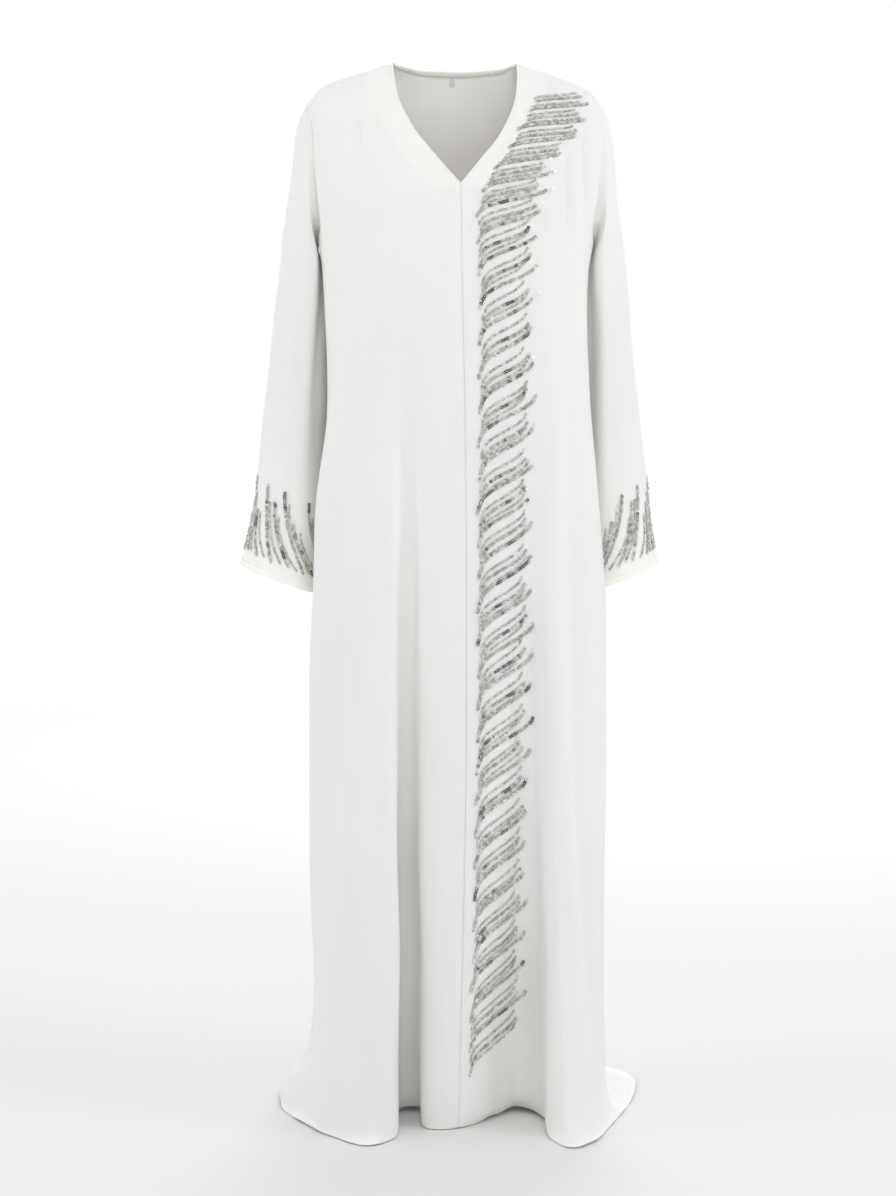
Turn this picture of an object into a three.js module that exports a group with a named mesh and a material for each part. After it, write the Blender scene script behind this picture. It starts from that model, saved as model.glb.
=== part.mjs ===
// A full-length closed abaya in white crepe, in the hollow shape that it keeps when it is worn.
// Millimetres, +Z up, +X to the wearer's left, the front facing -Y. The origin is midway between the
// two neck points of the shoulder seams, where the wearer's shoulders carry the garment.
import * as THREE from "three";

// Cloth and seams
const CLOTH = 2; // wall of the cloth
const SEAM_GAP = 0.3; // between neighbouring pieces
const LONGEST_MITRE = 2; // most that a seam's wall leans out, in walls
const WHITE = 0xf1f0ee;

// Heights, all below the neck points
const FLOOR = -1358;
const BUST = -270;
const WAIST = -430;
const HIP = -620;
const KNEE = -960;
const ANKLE = -1290;

// Shoulders and neck
const NECK_HALF = 80; // centre to neck point
const NECK_POINT_Y = 3;
const BACK_NECK = { y: 46, z: -7 }; // middle of the back neckline
const SHOULDER_ROLL = 0.36; // share of the shoulder's fall that comes at its very end, over the arm
const DOME = 0.8; // below 1, the cloth turns down over the shoulder more squarely
const ARMHOLE_REACH = { front: 1.5, back: 2.5 }; // above 1, its depth shapes only the cloth near it

// Each sleeve section: its outer and inner edge seen from the front, how far it reaches forward and
// back of its middle, and how far the armhole is scooped in. The first section is the armhole.
const SLEEVE_SECTIONS = [
  { at: "armhole", outX: 192, outZ: -56, inX: 168, inZ: -245, midY: 0, front: 58, back: 64, scoop: 2 },
  { at: "cap", outX: 202, outZ: -84, inX: 177, inZ: -234, midY: 2, front: 63, back: 68, scoop: 0 },
  { at: "crown", outX: 208, outZ: -130, inX: 179, inZ: -240, midY: 5, front: 63, back: 67, scoop: 0 },
  { at: "upper arm", outX: 216, outZ: -190, inX: 169, inZ: -272, midY: 9, front: 58, back: 64, scoop: 0 },
  { at: "biceps", outX: 226, outZ: -270, inX: 166, inZ: -325, midY: 14, front: 54, back: 58, scoop: 0 },
  { at: "above elbow", outX: 235, outZ: -350, inX: 168, inZ: -385, midY: 18, front: 50, back: 54, scoop: 0 },
  { at: "elbow", outX: 243, outZ: -425, inX: 167, inZ: -450, midY: 20, front: 48, back: 50, scoop: 0 },
  { at: "forearm", outX: 251, outZ: -515, inX: 169, inZ: -530, midY: 20, front: 46, back: 46, scoop: 0 },
  { at: "wrist", outX: 258, outZ: -580, inX: 173, inZ: -602, midY: 19, front: 44, back: 44, scoop: 0 },
  { at: "cuff", outX: 267, outZ: -620, inX: 177, inZ: -650, midY: 18, front: 45, back: 45, scoop: 0 },
  { at: "sleeve hem", outX: 275, outZ: -649, inX: 180, inZ: -686, midY: 17, front: 47, back: 47, scoop: 0 },
];
const SLEEVE_SWING = 5; // both cuffs hang this far to the wearer's right
// Long soft folds down each sleeve: where round the section (0 the outer edge, 90 the front, 180 the
// inner edge), how deep and how wide they are. A ridge has a depth below 0.
const SLEEVE_FOLDS = [
  { name: "front outer valley", angle: 62, depth: 4, width: 16 },
  { name: "front inner ridge", angle: 106, depth: -5, width: 14 },
  { name: "inner side", angle: 142, depth: 8, width: 20 },
  { name: "back valley", angle: 238, depth: 7, width: 22 },
];

// The front edge from the neck point down the V and on down the centre seam, to the bust
const FRONT_EDGE = [
  { x: 80, y: 3, z: 0 },
  { x: 79, y: -16, z: -20 },
  { x: 74, y: -38, z: -52 },
  { x: 57, y: -64, z: -89 },
  { x: 29, y: -88, z: -127 },
  { x: 0, y: -105, z: -160 },
  { x: 0, y: -117, z: -212 },
];
const V_ROW = 5; // the row of FRONT_EDGE at the point of the V
// The middle of the back from the neckline to the bust
const BACK_EDGE = [
  { x: 0, y: BACK_NECK.y, z: BACK_NECK.z },
  { x: 0, y: 57, z: -29 },
  { x: 0, y: 69, z: -58 },
  { x: 0, y: 81, z: -93 },
  { x: 0, y: 91, z: -134 },
  { x: 0, y: 98, z: -178 },
  { x: 0, y: 102, z: -224 },
];

// Fold lines. A row is one line of the cloth from the bust to the hem: [x, y] where it crosses each
// height, and at the hem how high it stands off the floor. kick says how far out towards the hem the
// line has come, and how high it is, where the cloth turns out onto the floor.
const SOFT = [0.3, 13];
const RIGHT_SIDE_SEAM = {
  line: "right side seam",
  bust: [-160, 8], waist: [-153, 12], hip: [-162, 15],
  knee: [-180, 20], ankle: [-185, 22], hem: [-229, 24, 2], kick: [0.85, 22],
};
const LEFT_SIDE_SEAM = {
  line: "left side seam",
  bust: [160, 8], waist: [154, 12], hip: [165, 15],
  knee: [182, 20], ankle: [187, 25], hem: [242, 34, 2], kick: [0.22, 11],
};
const CENTRE_SEAM = {
  line: "centre seam",
  bust: [0, -127], waist: [3, -130], hip: [5, -132],
  knee: [4, -133], ankle: [-3, -128], hem: [-5, -121, 0], kick: SOFT,
};
const FRONT_RIGHT_LINES = [
  CENTRE_SEAM,
  { line: "middle fold, right ridge", bust: [-38, -127], waist: [-44, -129], hip: [-50, -131],
    knee: [-48, -127], ankle: [-45, -121], hem: [-44, -118, 0], kick: SOFT },
  { line: "deep valley, inner side", bust: [-56, -125], waist: [-58, -126], hip: [-60, -114],
    knee: [-56, -82], ankle: [-52, -50], hem: [-50, -42, 5], kick: SOFT },
  { line: "deep valley, outer side", bust: [-72, -122], waist: [-74, -124], hip: [-75, -113],
    knee: [-75, -84], ankle: [-74, -52], hem: [-73, -42, 5], kick: SOFT },
  { line: "big fold, sharp ridge", bust: [-86, -119], waist: [-86, -123], hip: [-86, -129],
    knee: [-87, -147], ankle: [-87, -162], hem: [-87, -159, 0], kick: SOFT },
  { line: "big fold, crown", bust: [-112, -108], waist: [-110, -117], hip: [-109, -127],
    knee: [-115, -155], ankle: [-121, -177], hem: [-123, -192, 0], kick: SOFT },
  { line: "big fold, outer ridge", bust: [-138, -90], waist: [-135, -104], hip: [-134, -116],
    knee: [-150, -133], ankle: [-170, -134], hem: [-163, -150, 0], kick: SOFT },
  { line: "side plane", bust: [-158, -66], waist: [-161, -72], hip: [-178, -80],
    knee: [-182, -84], ankle: [-187, -72], hem: [-201, -80, 0], kick: SOFT },
  { line: "side front", bust: [-170, -38], waist: [-167, -40], hip: [-184, -42],
    knee: [-190, -34], ankle: [-188, -24], hem: [-225, -22, 0], kick: [0.8, 17] },
  RIGHT_SIDE_SEAM,
];
const FRONT_LEFT_LINES = [
  CENTRE_SEAM,
  { line: "middle fold, left flank", bust: [30, -127], waist: [32, -130], hip: [32, -131],
    knee: [32, -129], ankle: [31, -108], hem: [29, -90, 0], kick: SOFT },
  { line: "wide valley", bust: [56, -125], waist: [58, -127], hip: [61, -125],
    knee: [66, -108], ankle: [76, -64], hem: [78, -46, 5], kick: SOFT },
  { line: "wide valley, far end", bust: [78, -121], waist: [80, -122], hip: [83, -121],
    knee: [93, -113], ankle: [105, -84], hem: [106, -80, 3], kick: SOFT },
  { line: "left fold, ridge", bust: [98, -114], waist: [98, -118], hip: [98, -123],
    knee: [103, -134], ankle: [108, -152], hem: [108, -178, 0], kick: SOFT },
  { line: "left fold, crown", bust: [114, -107], waist: [110, -116], hip: [108, -125],
    knee: [115, -145], ankle: [126, -174], hem: [131, -220, 0], kick: SOFT },
  { line: "left fold, outer ridge", bust: [128, -98], waist: [122, -112], hip: [119, -122],
    knee: [129, -140], ankle: [148, -155], hem: [160, -194, 0], kick: SOFT },
  { line: "side valley", bust: [142, -86], waist: [138, -97], hip: [136, -103],
    knee: [148, -112], ankle: [167, -111], hem: [185, -136, 0], kick: SOFT },
  { line: "side ridge", bust: [156, -68], waist: [157, -82], hip: [158, -94],
    knee: [172, -92], ankle: [187, -76], hem: [207, -78, 0], kick: SOFT },
  { line: "side front", bust: [170, -38], waist: [169, -42], hip: [188, -48],
    knee: [193, -40], ankle: [192, -30], hem: [226, -26, 0], kick: [0.25, 12] },
  LEFT_SIDE_SEAM,
];
const BACK_LINES = [
  LEFT_SIDE_SEAM,
  { line: "left arm ridge", bust: [168, 46], waist: [166, 52], hip: [178, 62],
    knee: [191, 66], ankle: [191, 76], hem: [248, 96, 3], kick: [0.25, 14] },
  { line: "left outer fold", bust: [151, 80], waist: [154, 90], hip: [161, 100],
    knee: [170, 118], ankle: [177, 136], hem: [224, 160, 2], kick: [0.3, 14] },
  { line: "left outer valley", bust: [128, 98], waist: [131, 104], hip: [134, 108],
    knee: [138, 112], ankle: [141, 118], hem: [158, 138, 5], kick: SOFT },
  { line: "left blade fold", bust: [106, 106], waist: [107, 115], hip: [108, 124],
    knee: [110, 146], ankle: [112, 168], hem: [116, 194, 0], kick: SOFT },
  { line: "left neck line", bust: [80, 110], waist: [80, 116], hip: [80, 122],
    knee: [80, 138], ankle: [80, 154], hem: [80, 176, 0], kick: SOFT },
  { line: "left inner valley", bust: [52, 109], waist: [52, 111], hip: [51, 112],
    knee: [50, 115], ankle: [48, 120], hem: [46, 130, 5], kick: SOFT },
  { line: "middle back fold, left", bust: [26, 106], waist: [26, 113], hip: [26, 120],
    knee: [25, 139], ankle: [24, 160], hem: [24, 186, 0], kick: SOFT },
  { line: "centre back", bust: [0, 104], waist: [0, 113], hip: [0, 123],
    knee: [-3, 147], ankle: [-5, 172], hem: [-6, 200, 0], kick: SOFT },
  { line: "middle back fold, right", bust: [-26, 106], waist: [-26, 113], hip: [-28, 120],
    knee: [-32, 137], ankle: [-35, 155], hem: [-38, 180, 0], kick: SOFT },
  { line: "right inner valley", bust: [-54, 109], waist: [-55, 111], hip: [-56, 111],
    knee: [-58, 113], ankle: [-60, 117], hem: [-62, 126, 5], kick: SOFT },
  { line: "right neck line", bust: [-80, 110], waist: [-82, 116], hip: [-84, 121],
    knee: [-89, 136], ankle: [-92, 152], hem: [-94, 173, 0], kick: SOFT },
  { line: "right blade fold", bust: [-106, 106], waist: [-109, 115], hip: [-113, 125],
    knee: [-119, 146], ankle: [-123, 168], hem: [-127, 193, 0], kick: SOFT },
  { line: "right outer valley", bust: [-128, 98], waist: [-133, 104], hip: [-139, 109],
    knee: [-146, 111], ankle: [-149, 113], hem: [-155, 126, 5], kick: SOFT },
  { line: "right outer fold", bust: [-151, 80], waist: [-156, 88], hip: [-164, 97],
    knee: [-171, 112], ankle: [-172, 126], hem: [-188, 148, 0], kick: SOFT },
  { line: "right arm ridge", bust: [-168, 46], waist: [-167, 51], hip: [-177, 60],
    knee: [-189, 62], ankle: [-190, 66], hem: [-222, 80, 2], kick: [0.7, 18] },
  RIGHT_SIDE_SEAM,
];
const NECK_LINES = [5, 11]; // the rows of BACK_LINES that start at the neck points

// Rows of the net that the cloth passes through
const UNDERARM_ROW = FRONT_EDGE.length - 1;
const BUST_ROW = UNDERARM_ROW + 1;
const HEM_ROW = BUST_ROW + 6; // bust, waist, hip, knee, ankle, kick, hem
const ROW_STEPS = [2, 2, 2, 2, 2, 2, 2, 1, 2, 3, 4, 2, 2]; // mesh rows between each two of the net
const COLUMN_LENGTH = 28; // wanted width of a mesh column at the hem
const SLEEVE_STEPS = [2, 1, 1, 2, 2, 2, 2, 2, 1, 2]; // mesh rows between each two sleeve sections

// Neck trimmings inside the back neckline
const BINDING = { width: 8.5, thick: 1 };
const LABEL = { width: 7, length: 12, thick: 0.8 };

const lerp = THREE.MathUtils.lerp;

// A smooth curve through points, at t counted in points. A corner keeps its two sides apart.
function through(points, t, corner = -1) {
  const last = points.length - 1;
  const i = Math.min(Math.max(Math.floor(t), 0), last - 1);
  const a = points[i];
  const b = points[i + 1];
  const span = Math.sqrt(a.distanceTo(b)) || 1;
  const chord = b.clone().sub(a);
  const slopeAt = (before, point, after) => {
    const h0 = Math.sqrt(before.distanceTo(point)) || 1;
    const h1 = Math.sqrt(point.distanceTo(after)) || 1;
    const left = point.clone().sub(before).divideScalar(h0);
    const right = after.clone().sub(point).divideScalar(h1);
    return left.multiplyScalar(h1).add(right.multiplyScalar(h0)).divideScalar(h0 + h1);
  };
  const secant = chord.clone().divideScalar(span);
  const ma = i === 0 || i === corner ? secant : slopeAt(points[i - 1], a, b);
  const mb = i + 1 === last || i + 1 === corner ? secant : slopeAt(a, b, points[i + 2]);
  const s = t - i;
  const rise = s * s * (3 - 2 * s);
  return a
    .clone()
    .addScaledVector(chord, rise)
    .addScaledVector(ma, span * s * (1 - s) * (1 - s))
    .addScaledVector(mb, -span * s * s * (1 - s));
}

// A point of a sleeve section, at an angle from its outer edge: 90 degrees is the front.
function sectionPoint(section, side, angle) {
  const c = Math.cos(angle);
  const s = Math.sin(angle);
  const reach = s > 0 ? section.front : section.back;
  const x = (section.outX + section.inX) / 2 + ((section.outX - section.inX) / 2) * c;
  const z = (section.outZ + section.inZ) / 2 + ((section.outZ - section.inZ) / 2) * c;
  return new THREE.Vector3(side * (x - section.scoop * Math.abs(s)), section.midY - reach * s, z);
}

// The armhole seam of one side, from the shoulder (row 0) to the underarm, round the front or back.
function armhole(side, facing, row) {
  const angle = (Math.PI * row) / UNDERARM_ROW;
  return sectionPoint(SLEEVE_SECTIONS[0], side, facing === "front" ? angle : -angle);
}

// The shoulder seam from the neck point (share 0) to the arm (share 1).
function shoulderSeam(side, share) {
  const tip = armhole(side, "front", 0);
  return new THREE.Vector3(
    lerp(side * NECK_HALF, tip.x, share),
    lerp(NECK_POINT_Y, tip.y, share),
    tip.z * lerp(share, share ** 7, SHOULDER_ROLL),
  );
}

// The back neckline from its middle (share 0) to the neck point (share 1).
function backNeck(side, share) {
  const turn = (Math.PI / 2) * share;
  return new THREE.Vector3(
    side * NECK_HALF * Math.sin(turn),
    lerp(NECK_POINT_Y, BACK_NECK.y, Math.cos(turn)),
    BACK_NECK.z * Math.cos(turn) ** 2,
  );
}

// The cloth between a point of the top edge and one at the bust, turning over the shoulder.
function dome(top, bust, share) {
  const out = Math.sin((Math.PI / 2) * share) ** DOME;
  const down = 1 - Math.cos((Math.PI / 2) * share) ** DOME;
  return new THREE.Vector3(lerp(top.x, bust.x, out), lerp(top.y, bust.y, out), lerp(top.z, bust.z, down));
}

// One half of the front or back as a net: a column of points for each fold line, inner line first.
function halfNet(lines, side, facing, topEdge, innerEdge) {
  const bust = lines.map((l) => new THREE.Vector3(l.bust[0], l.bust[1], BUST));
  const run = [0];
  for (let k = 1; k < bust.length; k++) run.push(run[k - 1] + bust[k].distanceTo(bust[k - 1]));
  const shares = run.map((r) => r / run[run.length - 1]);
  const top = shares.map((s, k) => topEdge(s, k, shares));
  const last = lines.length - 1;
  return lines.map((line, k) => {
    const column = [];
    for (let row = 0; row <= UNDERARM_ROW; row++) {
      const w = row / BUST_ROW;
      const point = dome(top[k], bust[k], w);
      const inner = new THREE.Vector3(side * innerEdge[row].x, innerEdge[row].y, innerEdge[row].z);
      point.addScaledVector(inner.sub(dome(top[0], bust[0], w)), 1 - shares[k]);
      const outer = armhole(side, facing, row).sub(dome(top[last], bust[last], w));
      const deep = shares[k] ** ARMHOLE_REACH[facing];
      point.add(outer.multiply(new THREE.Vector3(shares[k], deep, shares[k])));
      column.push(point);
    }
    column.push(bust[k], new THREE.Vector3(...line.waist, WAIST), new THREE.Vector3(...line.hip, HIP));
    column.push(new THREE.Vector3(...line.knee, KNEE), new THREE.Vector3(...line.ankle, ANKLE));
    const [hemX, hemY, lift] = line.hem;
    const [kickShare, kickHeight] = line.kick;
    const [ankleX, ankleY] = line.ankle;
    column.push(
      new THREE.Vector3(
        lerp(ankleX, hemX, kickShare),
        lerp(ankleY, hemY, kickShare),
        FLOOR + CLOTH / 2 + kickHeight + lift,
      ),
    );
    column.push(new THREE.Vector3(hemX, hemY, FLOOR + CLOTH / 2 + lift));
    return { points: column, share: shares[k] };
  });
}

// A panel of the body: its columns run anticlockwise seen from above, and its rows go down.
function bodyPanel(name, columns, { edges, top }) {
  return { name, columns, edges, top };
}

const frontTop = (side) => (share) => shoulderSeam(side, share);
const backTop = (side, neckLine) => (share, k, shares) => {
  const neckShare = shares[neckLine];
  return share <= neckShare
    ? backNeck(side, share / neckShare)
    : shoulderSeam(side, (share - neckShare) / (1 - neckShare));
};

// Columns of a half, with the rules for its two edge columns.
function edgedHalf(lines, side, facing, topEdge, innerEdge) {
  const net = halfNet(lines, side, facing, topEdge, innerEdge);
  const last = net.length - 1;
  return net.map((column, k) => ({
    share: column.share,
    at: (row) => {
      if (k === last && row < UNDERARM_ROW) return armhole(side, facing, row);
      const corner = k === last ? UNDERARM_ROW : k === 0 && facing === "front" ? V_ROW : -1;
      return through(column.points, row, corner);
    },
  }));
}

const middle = BACK_LINES.findIndex((l) => l.line === "centre back");
const leftBackLines = BACK_LINES.slice(0, middle + 1).reverse();
const rightBackLines = BACK_LINES.slice(middle);
const frontRight = edgedHalf(FRONT_RIGHT_LINES, -1, "front", frontTop(-1), FRONT_EDGE).reverse();
const frontLeft = edgedHalf(FRONT_LEFT_LINES, 1, "front", frontTop(1), FRONT_EDGE);
const backLeft = edgedHalf(leftBackLines, 1, "back", backTop(1, middle - NECK_LINES[0]), BACK_EDGE);
const backRight = edgedHalf(rightBackLines, -1, "back", backTop(-1, NECK_LINES[1] - middle), BACK_EDGE);
const back = [...backLeft.slice(1).reverse(), ...backRight];

const panels = {
  front_right: bodyPanel("front_right", frontRight, {
    edges: [{ from: UNDERARM_ROW, next: back }, { from: V_ROW, next: frontLeft }],
    top: (a, b, t) => shoulderSeam(-1, lerp(a.share, b.share, t)),
  }),
  front_left: bodyPanel("front_left", frontLeft, {
    edges: [{ from: V_ROW, next: frontRight }, { from: UNDERARM_ROW, next: back }],
    top: (a, b, t) => shoulderSeam(1, lerp(a.share, b.share, t)),
  }),
  back: bodyPanel("back", back, {
    edges: [{ from: UNDERARM_ROW, next: frontLeft }, { from: UNDERARM_ROW, next: frontRight }],
    top: (a, b, t, k) => {
      const side = k < middle ? 1 : -1;
      const neckShare = back[NECK_LINES[side > 0 ? 0 : 1]].share;
      const share = lerp(a.share, b.share, t);
      return share <= neckShare
        ? backNeck(side, share / neckShare)
        : shoulderSeam(side, (share - neckShare) / (1 - neckShare));
    },
  }),
};

// The point of a panel at a row and a column, both counted in rows and lines of its net.
function panelPoint(panel, row, column) {
  const last = panel.columns.length - 1;
  const k = Math.min(Math.floor(column), last - 1);
  if (row === 0) return panel.top(panel.columns[k], panel.columns[k + 1], column - k, k);
  const from = Math.max(k - 1, 0);
  const points = panel.columns.slice(from, k + 3).map((c) => c.at(row));
  const [before, after] = panel.edges;
  const beyond = (edge, own, inside, neighbour) =>
    row >= edge.from ? neighbour.at(row) : own.clone().multiplyScalar(2).sub(inside);
  let at = column - from;
  if (k === 0) {
    points.unshift(beyond(before, points[0], points[1], before.next[before.next.length - 2]));
    at += 1;
  }
  if (k + 1 === last) {
    const [inside, own] = points.slice(-2);
    points.push(beyond(after, own, inside, after.next[1]));
  }
  return through(points, at);
}

// The values 0, 1, 2 and on, with steps[i] even parts between i and i + 1.
function stops(steps) {
  const out = [];
  steps.forEach((n, i) => {
    for (let j = 0; j < n; j++) out.push(i + j / n);
  });
  out.push(steps.length);
  return out;
}

// Mesh columns of a panel: more of them where the cloth is wide at the hem.
function columnSteps(panel) {
  const hem = panel.columns.map((c) => c.at(HEM_ROW));
  return hem.slice(1).map((p, k) => {
    const wanted = Math.round(p.distanceTo(hem[k]) / COLUMN_LENGTH);
    return Math.min(Math.max(wanted, 2), 4);
  });
}

function panelGrid(panel) {
  const columns = stops(columnSteps(panel));
  return stops(ROW_STEPS).map((row) => columns.map((column) => panelPoint(panel, row, column)));
}

// A sleeve's points: rows go down the arm, columns anticlockwise seen from above.
function sleeveGrid(side) {
  const around = 2 * stops(ROW_STEPS.slice(0, UNDERARM_ROW)).length - 2;
  return stops(SLEEVE_STEPS).map((row) => {
    const length = row / SLEEVE_STEPS.length;
    const swing = -SLEEVE_SWING * length * length;
    const fade = Math.sin(Math.PI * Math.min(1, length * 1.15) ** 0.8);
    const ring = [];
    for (let j = 0; j < around; j++) {
      const angle = (-side * j * 2 * Math.PI) / around;
      const sections = SLEEVE_SECTIONS.map((s) => sectionPoint(s, side, angle));
      const point = through(sections, row);
      const middlePoint = through(SLEEVE_SECTIONS.map((s) => sectionMiddle(s, side)), row);
      const degrees = (THREE.MathUtils.radToDeg(angle) + 360) % 360;
      for (const fold of SLEEVE_FOLDS) {
        const off = (degrees - fold.angle) / fold.width;
        const inward = middlePoint.clone().sub(point).normalize();
        point.addScaledVector(inward, Math.max(0, fade) * fold.depth * Math.exp(-off * off));
      }
      point.x += swing;
      ring.push(point);
    }
    return ring;
  });
}

function sectionMiddle(section, side) {
  return new THREE.Vector3(
    (side * (section.outX + section.inX)) / 2,
    section.midY,
    (section.outZ + section.inZ) / 2,
  );
}

// Normals of a grid of points, outwards, and for a closed grid round its join.
function gridNormals(grid, closed) {
  const rows = grid.length;
  const columns = grid[0].length;
  return grid.map((line, i) =>
    line.map((_, j) => {
      const up = grid[Math.max(i - 1, 0)][j];
      const down = grid[Math.min(i + 1, rows - 1)][j];
      const left = line[closed ? (j + columns - 1) % columns : Math.max(j - 1, 0)];
      const right = line[closed ? (j + 1) % columns : Math.min(j + 1, columns - 1)];
      const fall = down.clone().sub(up);
      return fall.cross(right.clone().sub(left)).normalize();
    }),
  );
}

// Pieces that meet at a seam lean their edges the same way, so that their walls meet face to face,
// and the lean is longer where they meet at a sharp angle, so that the wall keeps its thickness.
function shareSeamNormals(pieces) {
  const key = (p) => p.toArray().map((v) => Math.round(v * 100) || 0).join(" ");
  const sums = new Map();
  const each = (visit) =>
    pieces.forEach((piece) =>
      piece.grid.forEach((line, i) => line.forEach((p, j) => visit(key(p), piece.normals[i], j))),
    );
  const counts = new Map();
  each((id, normals, j) => {
    sums.set(id, (sums.get(id) || new THREE.Vector3()).add(normals[j]));
    counts.set(id, (counts.get(id) || 0) + 1);
  });
  each((id, normals, j) => {
    const sum = sums.get(id);
    const mitre = Math.min(counts.get(id) / sum.length(), LONGEST_MITRE);
    normals[j] = sum.clone().setLength(mitre);
  });
}

// Over the shoulder seam the edges of front and back lean straight away from the seam.
function setShoulderNormals(piece) {
  const line = piece.grid[0];
  line.forEach((p, j) => {
    const a = line[Math.max(j - 1, 0)];
    const b = line[Math.min(j + 1, line.length - 1)];
    const along = b.clone().sub(a).setY(0).normalize();
    const up = new THREE.Vector3(-along.z, 0, along.x);
    if (up.z < 0) up.negate();
    piece.normals[0][j] = up;
  });
}

// Draws the open edges of a grid back a little, square to the edge, so that neighbours keep the
// seam gap.
function drawnBack(grid, closed) {
  const rows = grid.length;
  const columns = grid[0].length;
  const out = grid.map((line) => line.map((p) => p.clone()));
  const draw = (i, j, toI, toJ, alongI, alongJ) => {
    const wrap = (v) => (closed ? (v + columns) % columns : Math.min(Math.max(v, 0), columns - 1));
    const at = (a, b) => grid[Math.min(Math.max(a, 0), rows - 1)][wrap(b)];
    const along = at(i + alongI, j + alongJ).clone().sub(at(i - alongI, j - alongJ)).normalize();
    const inward = at(toI, toJ).clone().sub(grid[i][j]);
    inward.addScaledVector(along, -inward.dot(along)).setLength(SEAM_GAP / 2);
    out[i][j].add(inward);
  };
  if (!closed)
    for (let i = 0; i < rows; i++) {
      draw(i, 0, i, 1, 1, 0);
      draw(i, columns - 1, i, columns - 2, 1, 0);
    }
  for (let j = 0; j < columns; j++) {
    draw(0, j, 1, j, 0, 1);
    draw(rows - 1, j, rows - 2, j, 0, 1);
  }
  return out;
}

// The wall of cloth on a grid: two skins and the strips that close its edges.
function wallGeometry({ grid, normals, closed = false, thick = CLOTH, offset = 0 }) {
  const rows = grid.length;
  const columns = grid[0].length;
  const position = [];
  const index = [];
  const lifted = (i, j, distance) => {
    const p = grid[i][j].clone().addScaledVector(normals[i][j], offset + distance);
    position.push(p.x, p.y, Math.max(p.z, FLOOR));
  };
  for (const distance of [thick / 2, -thick / 2])
    for (let i = 0; i < rows; i++) for (let j = 0; j < columns; j++) lifted(i, j, distance);
  const outer = (i, j) => i * columns + (j % columns);
  const inner = (i, j) => rows * columns + outer(i, j);
  const apart = (a, b) => {
    const [i, j] = [3 * a, 3 * b];
    const gap = [0, 1, 2].map((k) => position[i + k] - position[j + k]);
    return Math.hypot(...gap);
  };
  // The shorter diagonal, so that two walls that face each other are split alike
  const quad = (a, b, c, d) => {
    if (apart(a, c) < apart(b, d)) index.push(a, b, c, a, c, d);
    else index.push(a, b, d, b, c, d);
  };
  const wide = closed ? columns : columns - 1;
  for (let i = 0; i < rows - 1; i++)
    for (let j = 0; j < wide; j++) {
      quad(outer(i, j), outer(i + 1, j), outer(i + 1, j + 1), outer(i, j + 1));
      quad(inner(i, j), inner(i, j + 1), inner(i + 1, j + 1), inner(i + 1, j));
    }
  for (let j = 0; j < wide; j++) {
    quad(outer(0, j), outer(0, j + 1), inner(0, j + 1), inner(0, j));
    quad(outer(rows - 1, j + 1), outer(rows - 1, j), inner(rows - 1, j), inner(rows - 1, j + 1));
  }
  if (!closed)
    for (let i = 0; i < rows - 1; i++) {
      quad(outer(i + 1, 0), outer(i, 0), inner(i, 0), inner(i + 1, 0));
      const j = columns - 1;
      quad(outer(i, j), outer(i + 1, j), inner(i + 1, j), inner(i, j));
    }
  const geometry = new THREE.BufferGeometry();
  geometry.setAttribute("position", new THREE.Float32BufferAttribute(position, 3));
  geometry.setIndex(index);
  geometry.computeVertexNormals();
  return geometry;
}

function clothMesh(name, geometry, colour, roughness) {
  const material = new THREE.MeshStandardMaterial({ color: colour, roughness, metalness: 0 });
  const mesh = new THREE.Mesh(geometry, material);
  mesh.name = name;
  return mesh;
}

// Rows of the back panel in millimetres below the neckline, on one column.
function backRowAt(column, distance) {
  let row = 0;
  let gone = 0;
  let here = panelPoint(panels.back, 0, column);
  const step = 0.01;
  while (gone < distance) {
    const next = panelPoint(panels.back, row + step, column);
    gone += next.distanceTo(here);
    here = next;
    row += step;
  }
  return row;
}

// A strip that lies inside the back panel, from one column to another and between two distances
// below the neckline.
function insideStrip(name, columns, from, to, thick) {
  const distances = [from, to];
  const grid = distances.map((d) => columns.map((c) => panelPoint(panels.back, backRowAt(c, d), c)));
  const normals = gridNormals(grid, false);
  const offset = -(CLOTH / 2 + SEAM_GAP + thick / 2);
  return clothMesh(name, wallGeometry({ grid, normals, thick, offset }), WHITE, 0.8);
}

const abaya = new THREE.Group();

const pieces = Object.values(panels).map((panel) => {
  const grid = panelGrid(panel);
  return { name: panel.name, grid, normals: gridNormals(grid, false), closed: false };
});
pieces.forEach(setShoulderNormals);
for (const [name, side] of [["sleeve_left", 1], ["sleeve_right", -1]]) {
  const grid = sleeveGrid(side);
  pieces.push({ name, grid, normals: gridNormals(grid, true), closed: true });
}
shareSeamNormals(pieces);
for (const { name, grid, normals, closed } of pieces) {
  const geometry = wallGeometry({ grid: drawnBack(grid, closed), normals, closed });
  abaya.add(clothMesh(name, geometry, WHITE, 0.75));
}

const backColumns = stops(columnSteps(panels.back));
const bindingColumns = backColumns.filter((c) => c > NECK_LINES[0] && c < NECK_LINES[1]);
abaya.add(insideStrip("neck_binding", bindingColumns, 0.6, BINDING.width, BINDING.thick));
const labelTop = BINDING.width + SEAM_GAP;
const labelRow = backRowAt(middle, labelTop);
const acrossTwo = [-1, 1].map((side) => panelPoint(panels.back, labelRow, middle + side * 0.1));
const labelHalf = (LABEL.width / acrossTwo[0].distanceTo(acrossTwo[1])) * 0.1;
const labelColumns = [middle - labelHalf, middle + labelHalf];
abaya.add(insideStrip("size_label", labelColumns, labelTop, labelTop + LABEL.length, LABEL.thick));

export default abaya;
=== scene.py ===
import math

import bpy
import numpy as np
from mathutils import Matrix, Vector
from mathutils.bvhtree import BVHTree


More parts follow.
